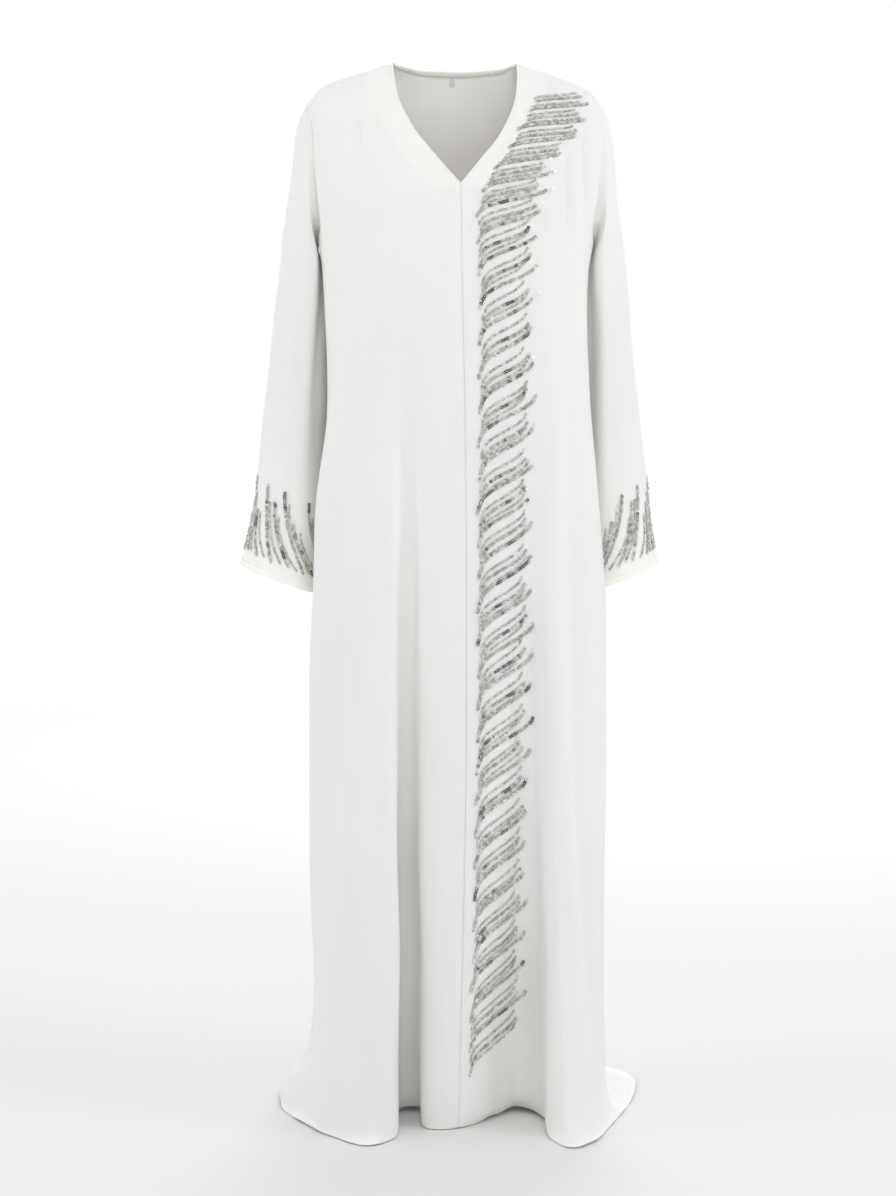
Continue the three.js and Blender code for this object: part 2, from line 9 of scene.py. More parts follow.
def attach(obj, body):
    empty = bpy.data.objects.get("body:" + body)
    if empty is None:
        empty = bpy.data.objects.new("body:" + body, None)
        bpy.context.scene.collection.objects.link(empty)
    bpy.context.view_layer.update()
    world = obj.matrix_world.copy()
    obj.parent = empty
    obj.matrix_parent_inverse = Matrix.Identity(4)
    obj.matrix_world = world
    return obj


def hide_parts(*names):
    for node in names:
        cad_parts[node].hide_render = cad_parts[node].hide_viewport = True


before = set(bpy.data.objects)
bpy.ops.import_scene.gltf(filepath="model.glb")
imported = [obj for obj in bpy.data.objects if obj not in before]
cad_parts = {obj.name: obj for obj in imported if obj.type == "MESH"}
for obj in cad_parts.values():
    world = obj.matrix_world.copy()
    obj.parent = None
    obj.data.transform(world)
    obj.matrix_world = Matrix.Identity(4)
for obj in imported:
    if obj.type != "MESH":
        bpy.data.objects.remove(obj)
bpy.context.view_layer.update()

# Camera
# A long lens 3.5 m away at waist height, a few degrees to the wearer's right, so the figure stands
# nearly flat in the view. It looks down a little, and the rest of the framing is shift.
CAMERA_DISTANCE = 3.5
CAMERA_TURN = math.radians(-4)
CAMERA_HEIGHT = -0.408
CAMERA_PITCH = math.radians(2.3)
AIM_ACROSS = -0.0091


def linked(name, data):
    made = bpy.data.objects.new(name, data)
    bpy.context.scene.collection.objects.link(made)
    return made


camera = linked("camera", bpy.data.cameras.new("camera"))
bpy.context.scene.camera = camera
camera.data.lens = 81.03
camera.data.sensor_width = 36
camera.data.shift_y = -0.0927
camera.location = (
    CAMERA_DISTANCE * math.sin(CAMERA_TURN),
    -CAMERA_DISTANCE * math.cos(CAMERA_TURN),
    CAMERA_HEIGHT,
)
aim = Vector((AIM_ACROSS, 0, CAMERA_HEIGHT - CAMERA_DISTANCE * math.tan(CAMERA_PITCH)))
camera.rotation_euler = (aim - camera.location).to_track_quat("-Z", "Y").to_euler()

# Fronts and back
# Two fronts and one back cut from white crepe, joined by plain seams at the shoulders, the sides and
# the middle of the front, and by the armholes to the sleeves. The V and the hem are turned in and
# stitched. The cloth hangs in the same long folds as the solids: each row is one line of the cloth.
FLOOR = -1358
BUST = -270
HEIGHTS_BELOW_BUST = (-430, -620, -960, -1290)  # waist, hip, knee, ankle
EDGE_THICKNESS = 2  # of the solid cloth, which its fold lines run in the middle of
NECK_HALF = 80
NECK_POINT_Y = 3
BACK_NECK_Y = 46
BACK_NECK_Z = -7
SHOULDER_ROLL = 0.36  # share of the shoulder's fall that comes at its very end, over the arm
DOME = 0.8  # below 1, the cloth turns down over the shoulder more squarely
ARMHOLE_REACH = {"front": 1.5, "back": 2.5}

# The armhole: its top and bottom (x, z) seen from the front, the y of its middle, how far it reaches
# forward and back, and its scoop
ARMHOLE = ((192, -56), (168, -245), 0, 58, 64, 2)

# The front edge from the neck point down the V to the bust, and the middle of the back likewise
FRONT_EDGE = (
    (80, 3, 0), (79, -16, -20), (74, -38, -52), (57, -64, -89),
    (29, -88, -127), (0, -105, -160), (0, -117, -212),
)
BACK_EDGE = (
    (0, 46, -7), (0, 57, -29), (0, 69, -58), (0, 81, -93),
    (0, 91, -134), (0, 98, -178), (0, 102, -224),
)
V_ROW = 5
UNDERARM_ROW = 6
BUST_ROW = 7

# Between ankle and hem the cloth kicks out over the floor: share of the way to the hem, height
KICK = (0.3, 13)

# Each row is a fold line: its name, (x, y) at the bust, waist, hip, knee and ankle, the hem (x, y, how
# far off the floor), and its own kick where that isn't KICK
CENTRE_SEAM = ("centre seam", (0, -127), (3, -130), (5, -132), (4, -133), (-3, -128), (-5, -121, 0))
CENTRE_BACK = ("centre back", (0, 104), (0, 113), (0, 123), (-3, 147), (-5, 172), (-6, 200, 0))
RIGHT_SIDE_SEAM = (
    "right side seam", (-160, 8), (-153, 12), (-162, 15), (-180, 20), (-185, 22), (-229, 24, 2),
    (0.85, 22),
)
LEFT_SIDE_SEAM = (
    "left side seam", (160, 8), (154, 12), (165, 15), (182, 20), (187, 25), (242, 34, 2), (0.22, 11),
)
FRONT_RIGHT_LINES = (
    CENTRE_SEAM,
    ("middle fold, right ridge", (-38, -127), (-44, -129), (-50, -131), (-48, -127), (-45, -121),
     (-44, -118, 0)),
    ("deep valley, inner side", (-56, -125), (-58, -126), (-60, -114), (-56, -82), (-52, -50),
     (-50, -42, 5)),
    ("deep valley, outer side", (-72, -122), (-74, -124), (-75, -113), (-75, -84), (-74, -52),
     (-73, -42, 5)),
    ("big fold, sharp ridge", (-86, -119), (-86, -123), (-86, -129), (-87, -147), (-87, -162),
     (-87, -159, 0)),
    ("big fold, crown", (-112, -108), (-110, -117), (-109, -127), (-115, -155), (-121, -177),
     (-123, -192, 0)),
    ("big fold, outer ridge", (-138, -90), (-135, -104), (-134, -116), (-150, -133), (-170, -134),
     (-163, -150, 0)),
    ("side plane", (-158, -66), (-161, -72), (-178, -80), (-182, -84), (-187, -72), (-201, -80, 0)),
    ("side front", (-170, -38), (-167, -40), (-184, -42), (-190, -34), (-188, -24),
     (-225, -22, 0), (0.8, 17)),
    RIGHT_SIDE_SEAM,
)
FRONT_LEFT_LINES = (
    CENTRE_SEAM,
    ("middle fold, left flank", (30, -127), (32, -130), (32, -131), (32, -129), (31, -108),
     (29, -90, 0)),
    ("wide valley", (56, -125), (58, -127), (61, -125), (66, -108), (76, -64), (78, -46, 5)),
    ("wide valley, far end", (78, -121), (80, -122), (83, -121), (93, -113), (105, -84), (106, -80, 3)),
    ("left fold, ridge", (98, -114), (98, -118), (98, -123), (103, -134), (108, -152), (108, -178, 0)),
    ("left fold, crown", (114, -107), (110, -116), (108, -125), (115, -145), (126, -174),
     (131, -220, 0)),
    ("left fold, outer ridge", (128, -98), (122, -112), (119, -122), (129, -140), (148, -155),
     (160, -194, 0)),
    ("side valley", (142, -86), (138, -97), (136, -103), (148, -112), (167, -111), (185, -136, 0)),
    ("side ridge", (156, -68), (157, -82), (158, -94), (172, -92), (187, -76), (207, -78, 0)),
    ("side front", (170, -38), (169, -42), (188, -48), (193, -40), (192, -30), (226, -26, 0),
     (0.25, 12)),
    LEFT_SIDE_SEAM,
)
BACK_LEFT_LINES = (
    CENTRE_BACK,
    ("middle back fold, left", (26, 106), (26, 113), (26, 120), (25, 139), (24, 160), (24, 186, 0)),
    ("left inner valley", (52, 109), (52, 111), (51, 112), (50, 115), (48, 120), (46, 130, 5)),
    ("left neck line", (80, 110), (80, 116), (80, 122), (80, 138), (80, 154), (80, 176, 0)),
    ("left blade fold", (106, 106), (107, 115), (108, 124), (110, 146), (112, 168), (116, 194, 0)),
    ("left outer valley", (128, 98), (131, 104), (134, 108), (138, 112), (141, 118), (158, 138, 5)),
    ("left outer fold", (151, 80), (154, 90), (161, 100), (170, 118), (177, 136), (224, 160, 2),
     (0.3, 14)),
    ("left arm ridge", (168, 46), (166, 52), (178, 62), (191, 66), (191, 76), (248, 96, 3), (0.25, 14)),
    LEFT_SIDE_SEAM,
)
BACK_RIGHT_LINES = (
    CENTRE_BACK,
    ("middle back fold, right", (-26, 106), (-26, 113), (-28, 120), (-32, 137), (-35, 155),
     (-38, 180, 0)),
    ("right inner valley", (-54, 109), (-55, 111), (-56, 111), (-58, 113), (-60, 117), (-62, 126, 5)),
    ("right neck line", (-80, 110), (-82, 116), (-84, 121), (-89, 136), (-92, 152), (-94, 173, 0)),
    ("right blade fold", (-106, 106), (-109, 115), (-113, 125), (-119, 146), (-123, 168),
     (-127, 193, 0)),
    ("right outer valley", (-128, 98), (-133, 104), (-139, 109), (-146, 111), (-149, 113),
     (-155, 126, 5)),
    ("right outer fold", (-151, 80), (-156, 88), (-164, 97), (-171, 112), (-172, 126), (-188, 148, 0)),
    ("right arm ridge", (-168, 46), (-167, 51), (-177, 60), (-189, 62), (-190, 66), (-222, 80, 2),
     (0.7, 18)),
    RIGHT_SIDE_SEAM,
)
NECK_LINE = 3  # the line of each back half that starts at the neck point


def through(points, at, corner=None):
    """Smooth curves through points (n, ..., 3) at places counted in points. A corner stays sharp."""
    points = np.asarray(points, float)
    at = np.asarray(at, float)
    last = len(points) - 1
    chord = np.diff(points, axis=0)
    span = np.sqrt(np.linalg.norm(chord, axis=-1, keepdims=True))
    span[span == 0] = 1
    secant = chord / span
    slope = np.zeros_like(points)
    slope[1:-1] = (secant[:-1] * span[1:] + secant[1:] * span[:-1]) / (span[:-1] + span[1:])
    i = np.clip(np.floor(at).astype(int), 0, last - 1)
    start = secant[i]
    end = secant[i]
    smooth_start = (i != 0) & (i != corner)
    smooth_end = (i + 1 != last) & (i + 1 != corner)
    start[smooth_start] = slope[i][smooth_start]
    end[smooth_end] = slope[i + 1][smooth_end]
    s = (at - i).reshape((-1,) + (1,) * (points.ndim - 1))
    rise = s * s * (3 - 2 * s)
    bend = start * span[i] * s * (1 - s) ** 2 - end * span[i] * s * s * (1 - s)
    return points[i] + chord[i] * rise + bend


def unit(vectors):
    return vectors / np.maximum(np.linalg.norm(vectors, axis=-1, keepdims=True), 1e-12)


def run_of(points):
    """How far along a line each of its points is."""
    return np.concatenate([[0], np.cumsum(np.linalg.norm(np.diff(points, axis=0), axis=1))])


def section_points(section, side, angle):
    """Points round a sleeve section: angle 0 is its outer edge, and 90 degrees its front."""
    c, s = np.cos(angle), np.sin(angle)
    (out_x, out_z), (in_x, in_z), middle_y, front, back, scoop = section
    x = (out_x + in_x) / 2 + (out_x - in_x) / 2 * c - scoop * np.abs(s)
    z = (out_z + in_z) / 2 + (out_z - in_z) / 2 * c
    y = middle_y - np.where(s > 0, front, back) * s
    return np.stack([side * x, y, z], axis=-1)


def armhole(side, facing, row):
    angle = np.pi * np.asarray(row, float) / UNDERARM_ROW
    return section_points(ARMHOLE, side, angle if facing == "front" else -angle)


def shoulder_seam(side, share):
    """Points of a shoulder seam, from the neck point (share 0) to the arm (share 1)."""
    share = np.asarray(share, float)
    tip = armhole(side, "front", 0)
    x = side * NECK_HALF + (tip[0] - side * NECK_HALF) * share
    y = NECK_POINT_Y + (tip[1] - NECK_POINT_Y) * share
    z = tip[2] * (share + (share**7 - share) * SHOULDER_ROLL)
    return np.stack([x, y, z], axis=-1)


def back_neck(side, share):
    """Points of the back neckline, from its middle (share 0) to the neck point (share 1)."""
    turn = np.pi / 2 * np.asarray(share, float)
    y = NECK_POINT_Y + (BACK_NECK_Y - NECK_POINT_Y) * np.cos(turn)
    return np.stack([side * NECK_HALF * np.sin(turn), y, BACK_NECK_Z * np.cos(turn) ** 2], axis=-1)


def back_top(side, share, neck_share):
    share = np.atleast_1d(share)
    seam = np.clip((share - neck_share) / (1 - neck_share), 0, 1)
    on_neck = (share <= neck_share)[:, None]
    return np.where(on_neck, back_neck(side, share / neck_share), shoulder_seam(side, seam))


def dome(top, bust, share):
    """The cloth between its top edge and the bust, turning over the shoulder."""
    out = math.sin(math.pi / 2 * share) ** DOME
    down = 1 - math.cos(math.pi / 2 * share) ** DOME
    return top + (bust - top) * np.array([out, out, down])


def fold_columns(lines, side, facing, rows):
    """The fold lines of one half at each row, and how far across the half each one is."""
    bust = np.array([(*line[1], BUST) for line in lines], float)
    shares = run_of(bust) / run_of(bust)[-1]
    last = len(lines) - 1
    if facing == "front":
        tops = shoulder_seam(side, shares)
    else:
        tops = back_top(side, shares, shares[NECK_LINE])
    inner_edge = np.array(FRONT_EDGE if facing == "front" else BACK_EDGE, float) * (side, 1, 1)
    columns = []
    for k, line in enumerate(lines):
        net = []
        for row in range(UNDERARM_ROW + 1):
            down = row / BUST_ROW
            point = dome(tops[k], bust[k], down)
            point = point + (inner_edge[row] - dome(tops[0], bust[0], down)) * (1 - shares[k])
            outward = armhole(side, facing, row) - dome(tops[last], bust[last], down)
            deep = shares[k] ** ARMHOLE_REACH[facing]
            net.append(point + outward * (shares[k], deep, shares[k]))
        net.append(bust[k])
        for place, height in zip(line[2:6], HEIGHTS_BELOW_BUST):
            net.append((*place, height))
        (ankle_x, ankle_y), (hem_x, hem_y, lift), (kick_share, kick_height) = (*line, KICK)[5:8]
        bottom = FLOOR + EDGE_THICKNESS / 2 + lift
        kick_x = ankle_x + (hem_x - ankle_x) * kick_share
        kick_y = ankle_y + (hem_y - ankle_y) * kick_share
        net.append((kick_x, kick_y, bottom + kick_height))
        net.append((hem_x, hem_y, bottom))
        corner = UNDERARM_ROW if k == last else V_ROW if k == 0 and facing == "front" else None
        curve = through(np.array(net, float), rows, corner)
        if k == last:
            above = rows < UNDERARM_ROW
            curve[above] = armhole(side, facing, rows[above])
        columns.append(curve)
    return columns, shares


def stops(steps):
    """0, 1, 2 and on, with steps[i] even parts between i and i + 1."""
    parts = [np.arange(n) / n + i for i, n in enumerate(steps)]
    return np.concatenate(parts + [[len(steps)]])


PANEL_ROWS = stops((8, 8, 8, 8, 8, 8, 6, 28, 34, 62, 60, 12, 8))
FRONT_COLUMNS = 9  # mesh columns between two fold lines
BACK_COLUMNS = 8

right_half, right_shares = fold_columns(FRONT_RIGHT_LINES, -1, "front", PANEL_ROWS)
front_left_columns, left_shares = fold_columns(FRONT_LEFT_LINES, 1, "front", PANEL_ROWS)
back_left_half, back_left_shares = fold_columns(BACK_LEFT_LINES, 1, "back", PANEL_ROWS)
back_right_half, back_right_shares = fold_columns(BACK_RIGHT_LINES, -1, "back", PANEL_ROWS)
front_right_columns = right_half[::-1]
back_columns = back_left_half[:0:-1] + back_right_half


def panel_grid(columns, steps, before, after, top):
    """Rows of points of a panel. Beyond its edges it bends on with the panel it is sewn to."""
    ghosts = []
    for (first_row, neighbour), edge, inner in ((before, *columns[:2]), (after, *columns[:-3:-1])):
        ghosts.append(np.where((PANEL_ROWS >= first_row)[:, None], neighbour, 2 * edge - inner))
    places = stops([steps] * (len(columns) - 1))
    grid = through(np.array([ghosts[0], *columns, ghosts[1]]), places + 1).transpose(1, 0, 2)
    grid[0] = top(places)
    return grid


def between(values, places):
    return np.interp(places, np.arange(len(values)), values)


front_right_grid = panel_grid(
    front_right_columns, FRONT_COLUMNS,
    (UNDERARM_ROW, back_columns[-2]), (V_ROW, front_left_columns[1]),
    lambda places: shoulder_seam(-1, between(right_shares[::-1], places)),
)
front_left_grid = panel_grid(
    front_left_columns, FRONT_COLUMNS,
    (V_ROW, front_right_columns[-2]), (UNDERARM_ROW, back_columns[1]),
    lambda places: shoulder_seam(1, between(left_shares, places)),
)


def whole_back_top(places):
    middle = len(BACK_LEFT_LINES) - 1
    left = places <= middle
    left_share = between(back_left_shares[::-1], places[left])
    right_share = between(back_right_shares, places[~left] - middle)
    return np.concatenate([
        back_top(1, left_share, back_left_shares[NECK_LINE]),
        back_top(-1, right_share, back_right_shares[NECK_LINE]),
    ])


back_grid = panel_grid(
    back_columns, BACK_COLUMNS,
    (UNDERARM_ROW, front_left_columns[-2]), (UNDERARM_ROW, front_right_columns[1]),
    whole_back_top,
)


def outward_normals(grid, closed=False):
    down = np.gradient(grid, axis=0)
    if closed:
        across = np.roll(grid, -1, axis=1) - np.roll(grid, 1, axis=1)
    else:
        across = np.gradient(grid, axis=1)
    return unit(np.cross(down, across))


def distance_along(grid, axis):
    """How far along the cloth each point is from the first row or column, and from the last."""
    steps = np.linalg.norm(np.diff(grid, axis=axis), axis=-1)
    start = np.zeros_like(steps[:1] if axis == 0 else steps[:, :1])
    run = np.concatenate([start, np.cumsum(steps, axis=axis)], axis=axis)
    total = run[-1:] if axis == 0 else run[:, -1:]
    return run, total - run


def ease(x):
    x = np.clip(x, 0, 1)
    return x * x * (3 - 2 * x)


# The hand of the cloth: slow, mostly upright waves that no pressing takes out, the same ones on both
# sides of a seam. Each row is how far apart they are across and down, their height, and a seed.
WAVES = ((52, 460, 0.9, 3), (96, 300, 1.0, 8), (27, 210, 0.34, 15))


def cloth_waves(grid):
    lift = np.zeros(grid.shape[:2])
    for wide, long, height, seed in WAVES:
        random = np.random.default_rng(seed)
        for _ in range(6):
            turn = random.uniform(0, 2 * math.pi)
            across = 2 * math.pi / (wide * random.uniform(0.75, 1.4))
            down = 2 * math.pi / (long * random.uniform(0.7, 1.5)) * random.choice([-1, 1])
            wave = np.array([math.cos(turn) * across, math.sin(turn) * across, down])
            lift += height / 2.4 * np.sin(grid @ wave + random.uniform(0, 2 * math.pi))
    return lift


def seam_groove(distance, along):
    """A plain seam: the cloth dips into it, and the thread draws it up a little."""
    pucker = np.sin(along / 3.7 + 2.1 * np.sin(along / 23)) * 0.16
    return -0.75 * np.exp(-((distance / 3.2) ** 2)) + pucker * np.exp(-((distance / 8) ** 2))


def crease(grid, width, depth, *line):
    """A soft trough (depth above 0) or ridge along a line of the front view, fading at its ends."""
    line = np.array(line, float)
    lengths = np.linalg.norm(np.diff(line, axis=0), axis=1)
    off = np.full(grid.shape[:2], 1e6)
    share = np.zeros(grid.shape[:2])
    for k, (a, b) in enumerate(zip(line[:-1], line[1:])):
        place = grid[..., [0, 2]] - a
        along = np.clip(place @ (b - a) / lengths[k] ** 2, 0, 1)
        away = np.linalg.norm(place - along[..., None] * (b - a), axis=-1)
        share = np.where(away < off, (lengths[:k].sum() + along * lengths[k]) / lengths.sum(), share)
        off = np.minimum(off, away)
    fade = np.sin(np.pi * np.clip(share * 0.94 + 0.03, 0, 1)) ** 0.7
    return -depth * fade * np.exp(-((off / width) ** 2))


# Creases of the fronts: width, depth and line (x, z). A ridge has a depth below 0. First the long
# folds' own crests, then the drag lines under the shoulders and the breaks over the floor.
FRONT_CREASES = (
    (10, -4.0, (-125, -500), (-134, -685), (-141, -871), (-156, -1057), (-175, -1278), (-186, -1400)),
    (10, 2.6, (-142, -540), (-151, -685), (-159, -871), (-174, -1057), (-193, -1278)),
    (12, 2.0, (-100, -620), (-104, -900), (-112, -1180)),
    (9, -3.6, (118, -600), (127, -900), (143, -1100), (158, -1250), (172, -1400)),
    (9, 2.8, (134, -640), (143, -900), (159, -1100), (172, -1250)),
    (8, -2.6, (168, -640), (174, -878), (180, -1038), (190, -1290)),
    (8, -2.0, (129, -264), (138, -390), (146, -540)),
    (12, 1.6, (96, -640), (104, -900), (118, -1150)),
    (14, -1.6, (-20, -420), (-24, -800), (-24, -1150)),
    (12, 1.6, (-70, -330), (-76, -520), (-78, -760)),
    (8, -1.2, (-146, -250), (-154, -340), (-160, -470)),
    (5, 1.7, (-127, -62), (-129, -140), (-133, -228)),
    (5, -1.6, (-139, -66), (-141, -150), (-145, -236)),
    (5, 1.5, (-152, -74), (-153, -150), (-155, -215)),
    (8, 1.0, (-108, -40), (-112, -110), (-114, -180)),
    (4, 1.9, (-184, -60), (-175, -121), (-166, -181), (-162, -252)),
    (5, 1.6, (133, -72), (132, -150), (136, -232)),
    (5, -1.7, (146, -70), (144, -150), (148, -240)),
    (5, 1.5, (157, -76), (156, -150), (159, -222)),
    (4, -1.2, (169, -92), (166, -160), (163, -215)),
    (4, 1.7, (188, -76), (182, -130), (175, -182), (172, -250)),
    (4, 1.1, (76, -6), (70, -40)),
    (4, 0.9, (-76, -4), (-70, -26)),
    (8, 1.0, (168, -236), (144, -218), (112, -200)),
    (8, 1.0, (-168, -236), (-146, -220), (-118, -204)),
    (10, 0.9, (166, -256), (140, -284), (108, -304)),
    (10, 0.9, (-166, -256), (-142, -282), (-112, -300)),
    (20, 0.8, (40, -300), (44, -480), (48, -640)),
    (18, 0.7, (-30, -330), (-36, -700)),
    (8, -1.2, (-188, -1250), (-214, -1345)),
    (6, 1.0, (-196, -1262), (-228, -1338)),
    (8, 1.1, (176, -1262), (204, -1345)),
    (7, -1.1, (190, -1258), (222, -1340)),
)

CLOTH = 0.9  # crepe with its lining layer, seen at the edges
HEM_DEPTH = 9
V_HEM = 4
FACING_WIDTH = 38  # the facing inside the V shows as a faint step


def hang(grid, closed=False, grooves=(), turned=(), creases=()):
    """The outer and inner skin of a piece, after its waves, creases, seams and turned edges.

    grooves and turned are pairs of how far each point is from the edge and how far it is along it.
    """
    normals = outward_normals(grid, closed)
    lift = cloth_waves(grid)
    for row in creases:
        lift += crease(grid, *row)
    thick = np.full(grid.shape[:2], CLOTH)
    for distance, along in grooves:
        lift = lift * (0.25 + 0.75 * ease(distance / 14)) + seam_groove(distance, along)
    for distance, depth, extra in turned:
        band = 1 - ease((distance - depth + 0.6) / 1.6)
        round_edge = 1 - 0.55 * np.exp(-((distance / 0.9) ** 2))
        thick = (thick + extra * band) * round_edge
    middle = grid + normals * lift[..., None]
    half = normals * thick[..., None] / 2
    outer, inner = middle + half, middle - half
    for skin in (outer, inner):
        skin[..., 2] = np.maximum(skin[..., 2], FLOOR + 0.1)
    return outer, inner


def new_mesh(name, points, faces):
    """A mesh with these corners, given in millimetres."""
    mesh = bpy.data.meshes.new(name)
    mesh.from_pydata((points / 1000).tolist(), [], faces.tolist())
    return mesh


def skins_mesh(name, outer, inner, closed=False):
    """One closed mesh of two skins of cloth and the rims that join them."""
    rows, columns = outer.shape[:2]
    index = np.arange(rows * columns).reshape(rows, columns)
    if closed:
        index = np.concatenate([index, index[:, :1]], axis=1)
    back = index + rows * columns

    def quads(a, b, c, d):
        return np.stack([a.ravel(), b.ravel(), c.ravel(), d.ravel()], axis=1)

    faces = [
        quads(index[:-1, :-1], index[1:, :-1], index[1:, 1:], index[:-1, 1:]),
        quads(back[:-1, :-1], back[:-1, 1:], back[1:, 1:], back[1:, :-1]),
        quads(index[0, :-1], index[0, 1:], back[0, 1:], back[0, :-1]),
        quads(index[-1, 1:], index[-1, :-1], back[-1, :-1], back[-1, 1:]),
    ]
    if not closed:
        faces.append(quads(index[1:, 0], index[:-1, 0], back[:-1, 0], back[1:, 0]))
        faces.append(quads(index[:-1, -1], index[1:, -1], back[1:, -1], back[:-1, -1]))
    points = np.concatenate([outer.reshape(-1, 3), inner.reshape(-1, 3)])
    mesh = new_mesh(name, points, np.concatenate(faces))
    mesh.shade_smooth()
    mesh.set_sharp_from_angle(angle=math.radians(60))
    return mesh


def piece(name, mesh, *materials):
    """An object that rides with the abaya."""
    made = linked(name, mesh)
    for material in materials:
        mesh.materials.append(material)
    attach(made, "root")
    return made


def colour(code):
    """The linear RGBA of an sRGB hex colour."""
    parts = [int(code[i : i + 2], 16) / 255 for i in (1, 3, 5)]
    linear = [c / 12.92 if c <= 0.04045 else ((c + 0.055) / 1.055) ** 2.4 for c in parts]
    return (*linear, 1)


def node(material, kind, inputs=None, **settings):
    """Adds a node. inputs gives the value of each socket, or the socket that is linked to it."""
    made = material.node_tree.nodes.new(kind)
    for key, value in settings.items():
        setattr(made, key, value)
    for key, value in (inputs or {}).items():
        if isinstance(value, bpy.types.NodeSocket):
            material.node_tree.links.new(value, made.inputs[key])
        else:
            made.inputs[key].default_value = value
    return made


def new_material(name):
    material = bpy.data.materials.new(name)
    material.use_nodes = True
    material.node_tree.nodes.clear()
    return material


def position(material):
    return node(material, "ShaderNodeNewGeometry").outputs["Position"]


def toned(material, value, dark, light, start=0, end=1):
    """A colour that goes from dark to light as a value goes from start to end."""
    ramp = node(material, "ShaderNodeValToRGB", {"Fac": value})
    for element, at, code in zip(ramp.color_ramp.elements, (start, end), (dark, light)):
        element.position = at
        element.color = colour(code)
    return ramp.outputs["Color"]


def bump(material, height, distance, strength, **under):
    """The normal of a surface that a height raises by up to distance, in metres."""
    inputs = {"Height": height, "Distance": distance, "Strength": strength, **under}
    return node(material, "ShaderNodeBump", inputs).outputs["Normal"]


def finish_material(material, **inputs):
    """Ends a material in a principled surface with these sockets, named with _ for a space."""
    surface = node(
        material, "ShaderNodeBsdfPrincipled",
        {key.replace("_", " "): value for key, value in inputs.items()},
    )
    node(material, "ShaderNodeOutputMaterial", {"Surface": surface.outputs["BSDF"]})
    return material


# Polyester crepe, woven from hard-twisted yarn: a matt, slightly pebbled white with a soft bloom at
# grazing angles. Its pebbles are 0.5 mm apart, and are drawn at 1.4 mm so that they show.
CREPE_PEBBLE = 1.4
CREPE_SLUB = 9.0

crepe = new_material("white_crepe")
place = position(crepe)
stretched = node(
    crepe, "ShaderNodeMapping", {"Vector": place, "Scale": (1, 1, 0.3)}, vector_type="POINT"
)
tone = node(
    crepe, "ShaderNodeTexNoise",
    {"Vector": stretched.outputs["Vector"], "Scale": 1000 / 130, "Detail": 3, "Roughness": 0.5},
)
pebble = node(
    crepe, "ShaderNodeTexVoronoi", {"Vector": place, "Scale": 1000 / CREPE_PEBBLE, "Randomness": 0.9}
)
slub = node(
    crepe, "ShaderNodeTexNoise",
    {"Vector": stretched.outputs["Vector"], "Scale": 1000 / CREPE_SLUB, "Detail": 4},
)
slub_bump = bump(crepe, slub.outputs["Fac"], 0.0006, 0.35)
finish_material(
    crepe,
    Base_Color=toned(crepe, tone.outputs["Fac"], "#f1f0eb", "#f6f5f1", 0.3, 0.7),
    Normal=bump(crepe, pebble.outputs["Distance"], 0.00012, 0.5, Normal=slub_bump),
    Roughness=0.78, IOR=1.45, Specular_IOR_Level=0.3, Sheen_Weight=0.12, Sheen_Roughness=0.5,
    Subsurface_Weight=1.0, Subsurface_Radius=(1.0, 0.97, 0.9), Subsurface_Scale=0.0017,
)

BINDING_WIDTH = 8.5
BEYOND = 60  # far enough from an edge to be free of it


def body_skins(grid, v_side, creases):
    """The skins of a front or of the back. v_side is the front's edge that opens into the V."""
    from_first, from_last = distance_along(grid, 1)
    down, from_hem = distance_along(grid, 0)
    rows = PANEL_ROWS[:, None]
    grooves = [(down, from_first)]
    turned = [(from_hem, HEM_DEPTH, 0.6)]
    for distance, side in ((from_first, "first"), (from_last, "last")):
        if side == v_side:
            seam_end = BEYOND * ease((V_ROW + 0.3 - rows) / 0.3)
            grooves.append((np.where(rows > V_ROW, distance, distance + seam_end), down))
            opening = np.where(rows <= V_ROW, distance, distance + BEYOND)
            turned.append((opening, V_HEM, 0.7))
            turned.append((opening, FACING_WIDTH, 0.35))
        else:
            grooves.append((distance, down))
    if v_side is None:
        neck = (np.abs(grid[0, :, 0]) < NECK_HALF)[None, :]
        grooves[0] = (np.where(neck, down + BEYOND, down), from_first)
        turned.append((np.where(neck, down, down + BEYOND), BINDING_WIDTH, 0.35))
    return hang(grid, grooves=grooves, turned=turned, creases=creases)


body = {}
for name, grid, v_side, creases in (
    ("front_right", front_right_grid, "last", FRONT_CREASES),
    ("front_left", front_left_grid, "first", FRONT_CREASES),
    ("back", back_grid, None, ()),
):
    outer, inner = body_skins(grid, v_side, creases)
    made = piece("crepe_" + name, skins_mesh("crepe_" + name, outer, inner), crepe)
    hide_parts(name)
    body[name] = {"made": made, "grid": grid, "outer": outer, "inner": inner, "v_side": v_side}

# Sleeves
# Long set-in sleeves of the same crepe, each one closed by a seam under the arm, sewn into the
# armhole and hemmed at the cuff. They hang over an unseen arm in a few long soft folds.

# The sections of a sleeve from its armhole to its cuff, in the same way as the armhole
SLEEVE_SECTIONS = (
    ARMHOLE,
    ((202, -84), (177, -234), 2, 63, 68, 0),
    ((208, -130), (179, -240), 5, 63, 67, 0),
    ((216, -190), (169, -272), 9, 58, 64, 0),
    ((226, -270), (166, -325), 14, 54, 58, 0),
    ((235, -350), (168, -385), 18, 50, 54, 0),
    ((243, -425), (167, -450), 20, 48, 50, 0),
    ((251, -515), (169, -530), 20, 46, 46, 0),
    ((258, -580), (173, -602), 19, 44, 44, 0),
    ((267, -620), (177, -650), 18, 45, 45, 0),
    ((275, -649), (180, -686), 17, 47, 47, 0),
)
SLEEVE_SWING = 5  # both cuffs hang this far to the wearer's right
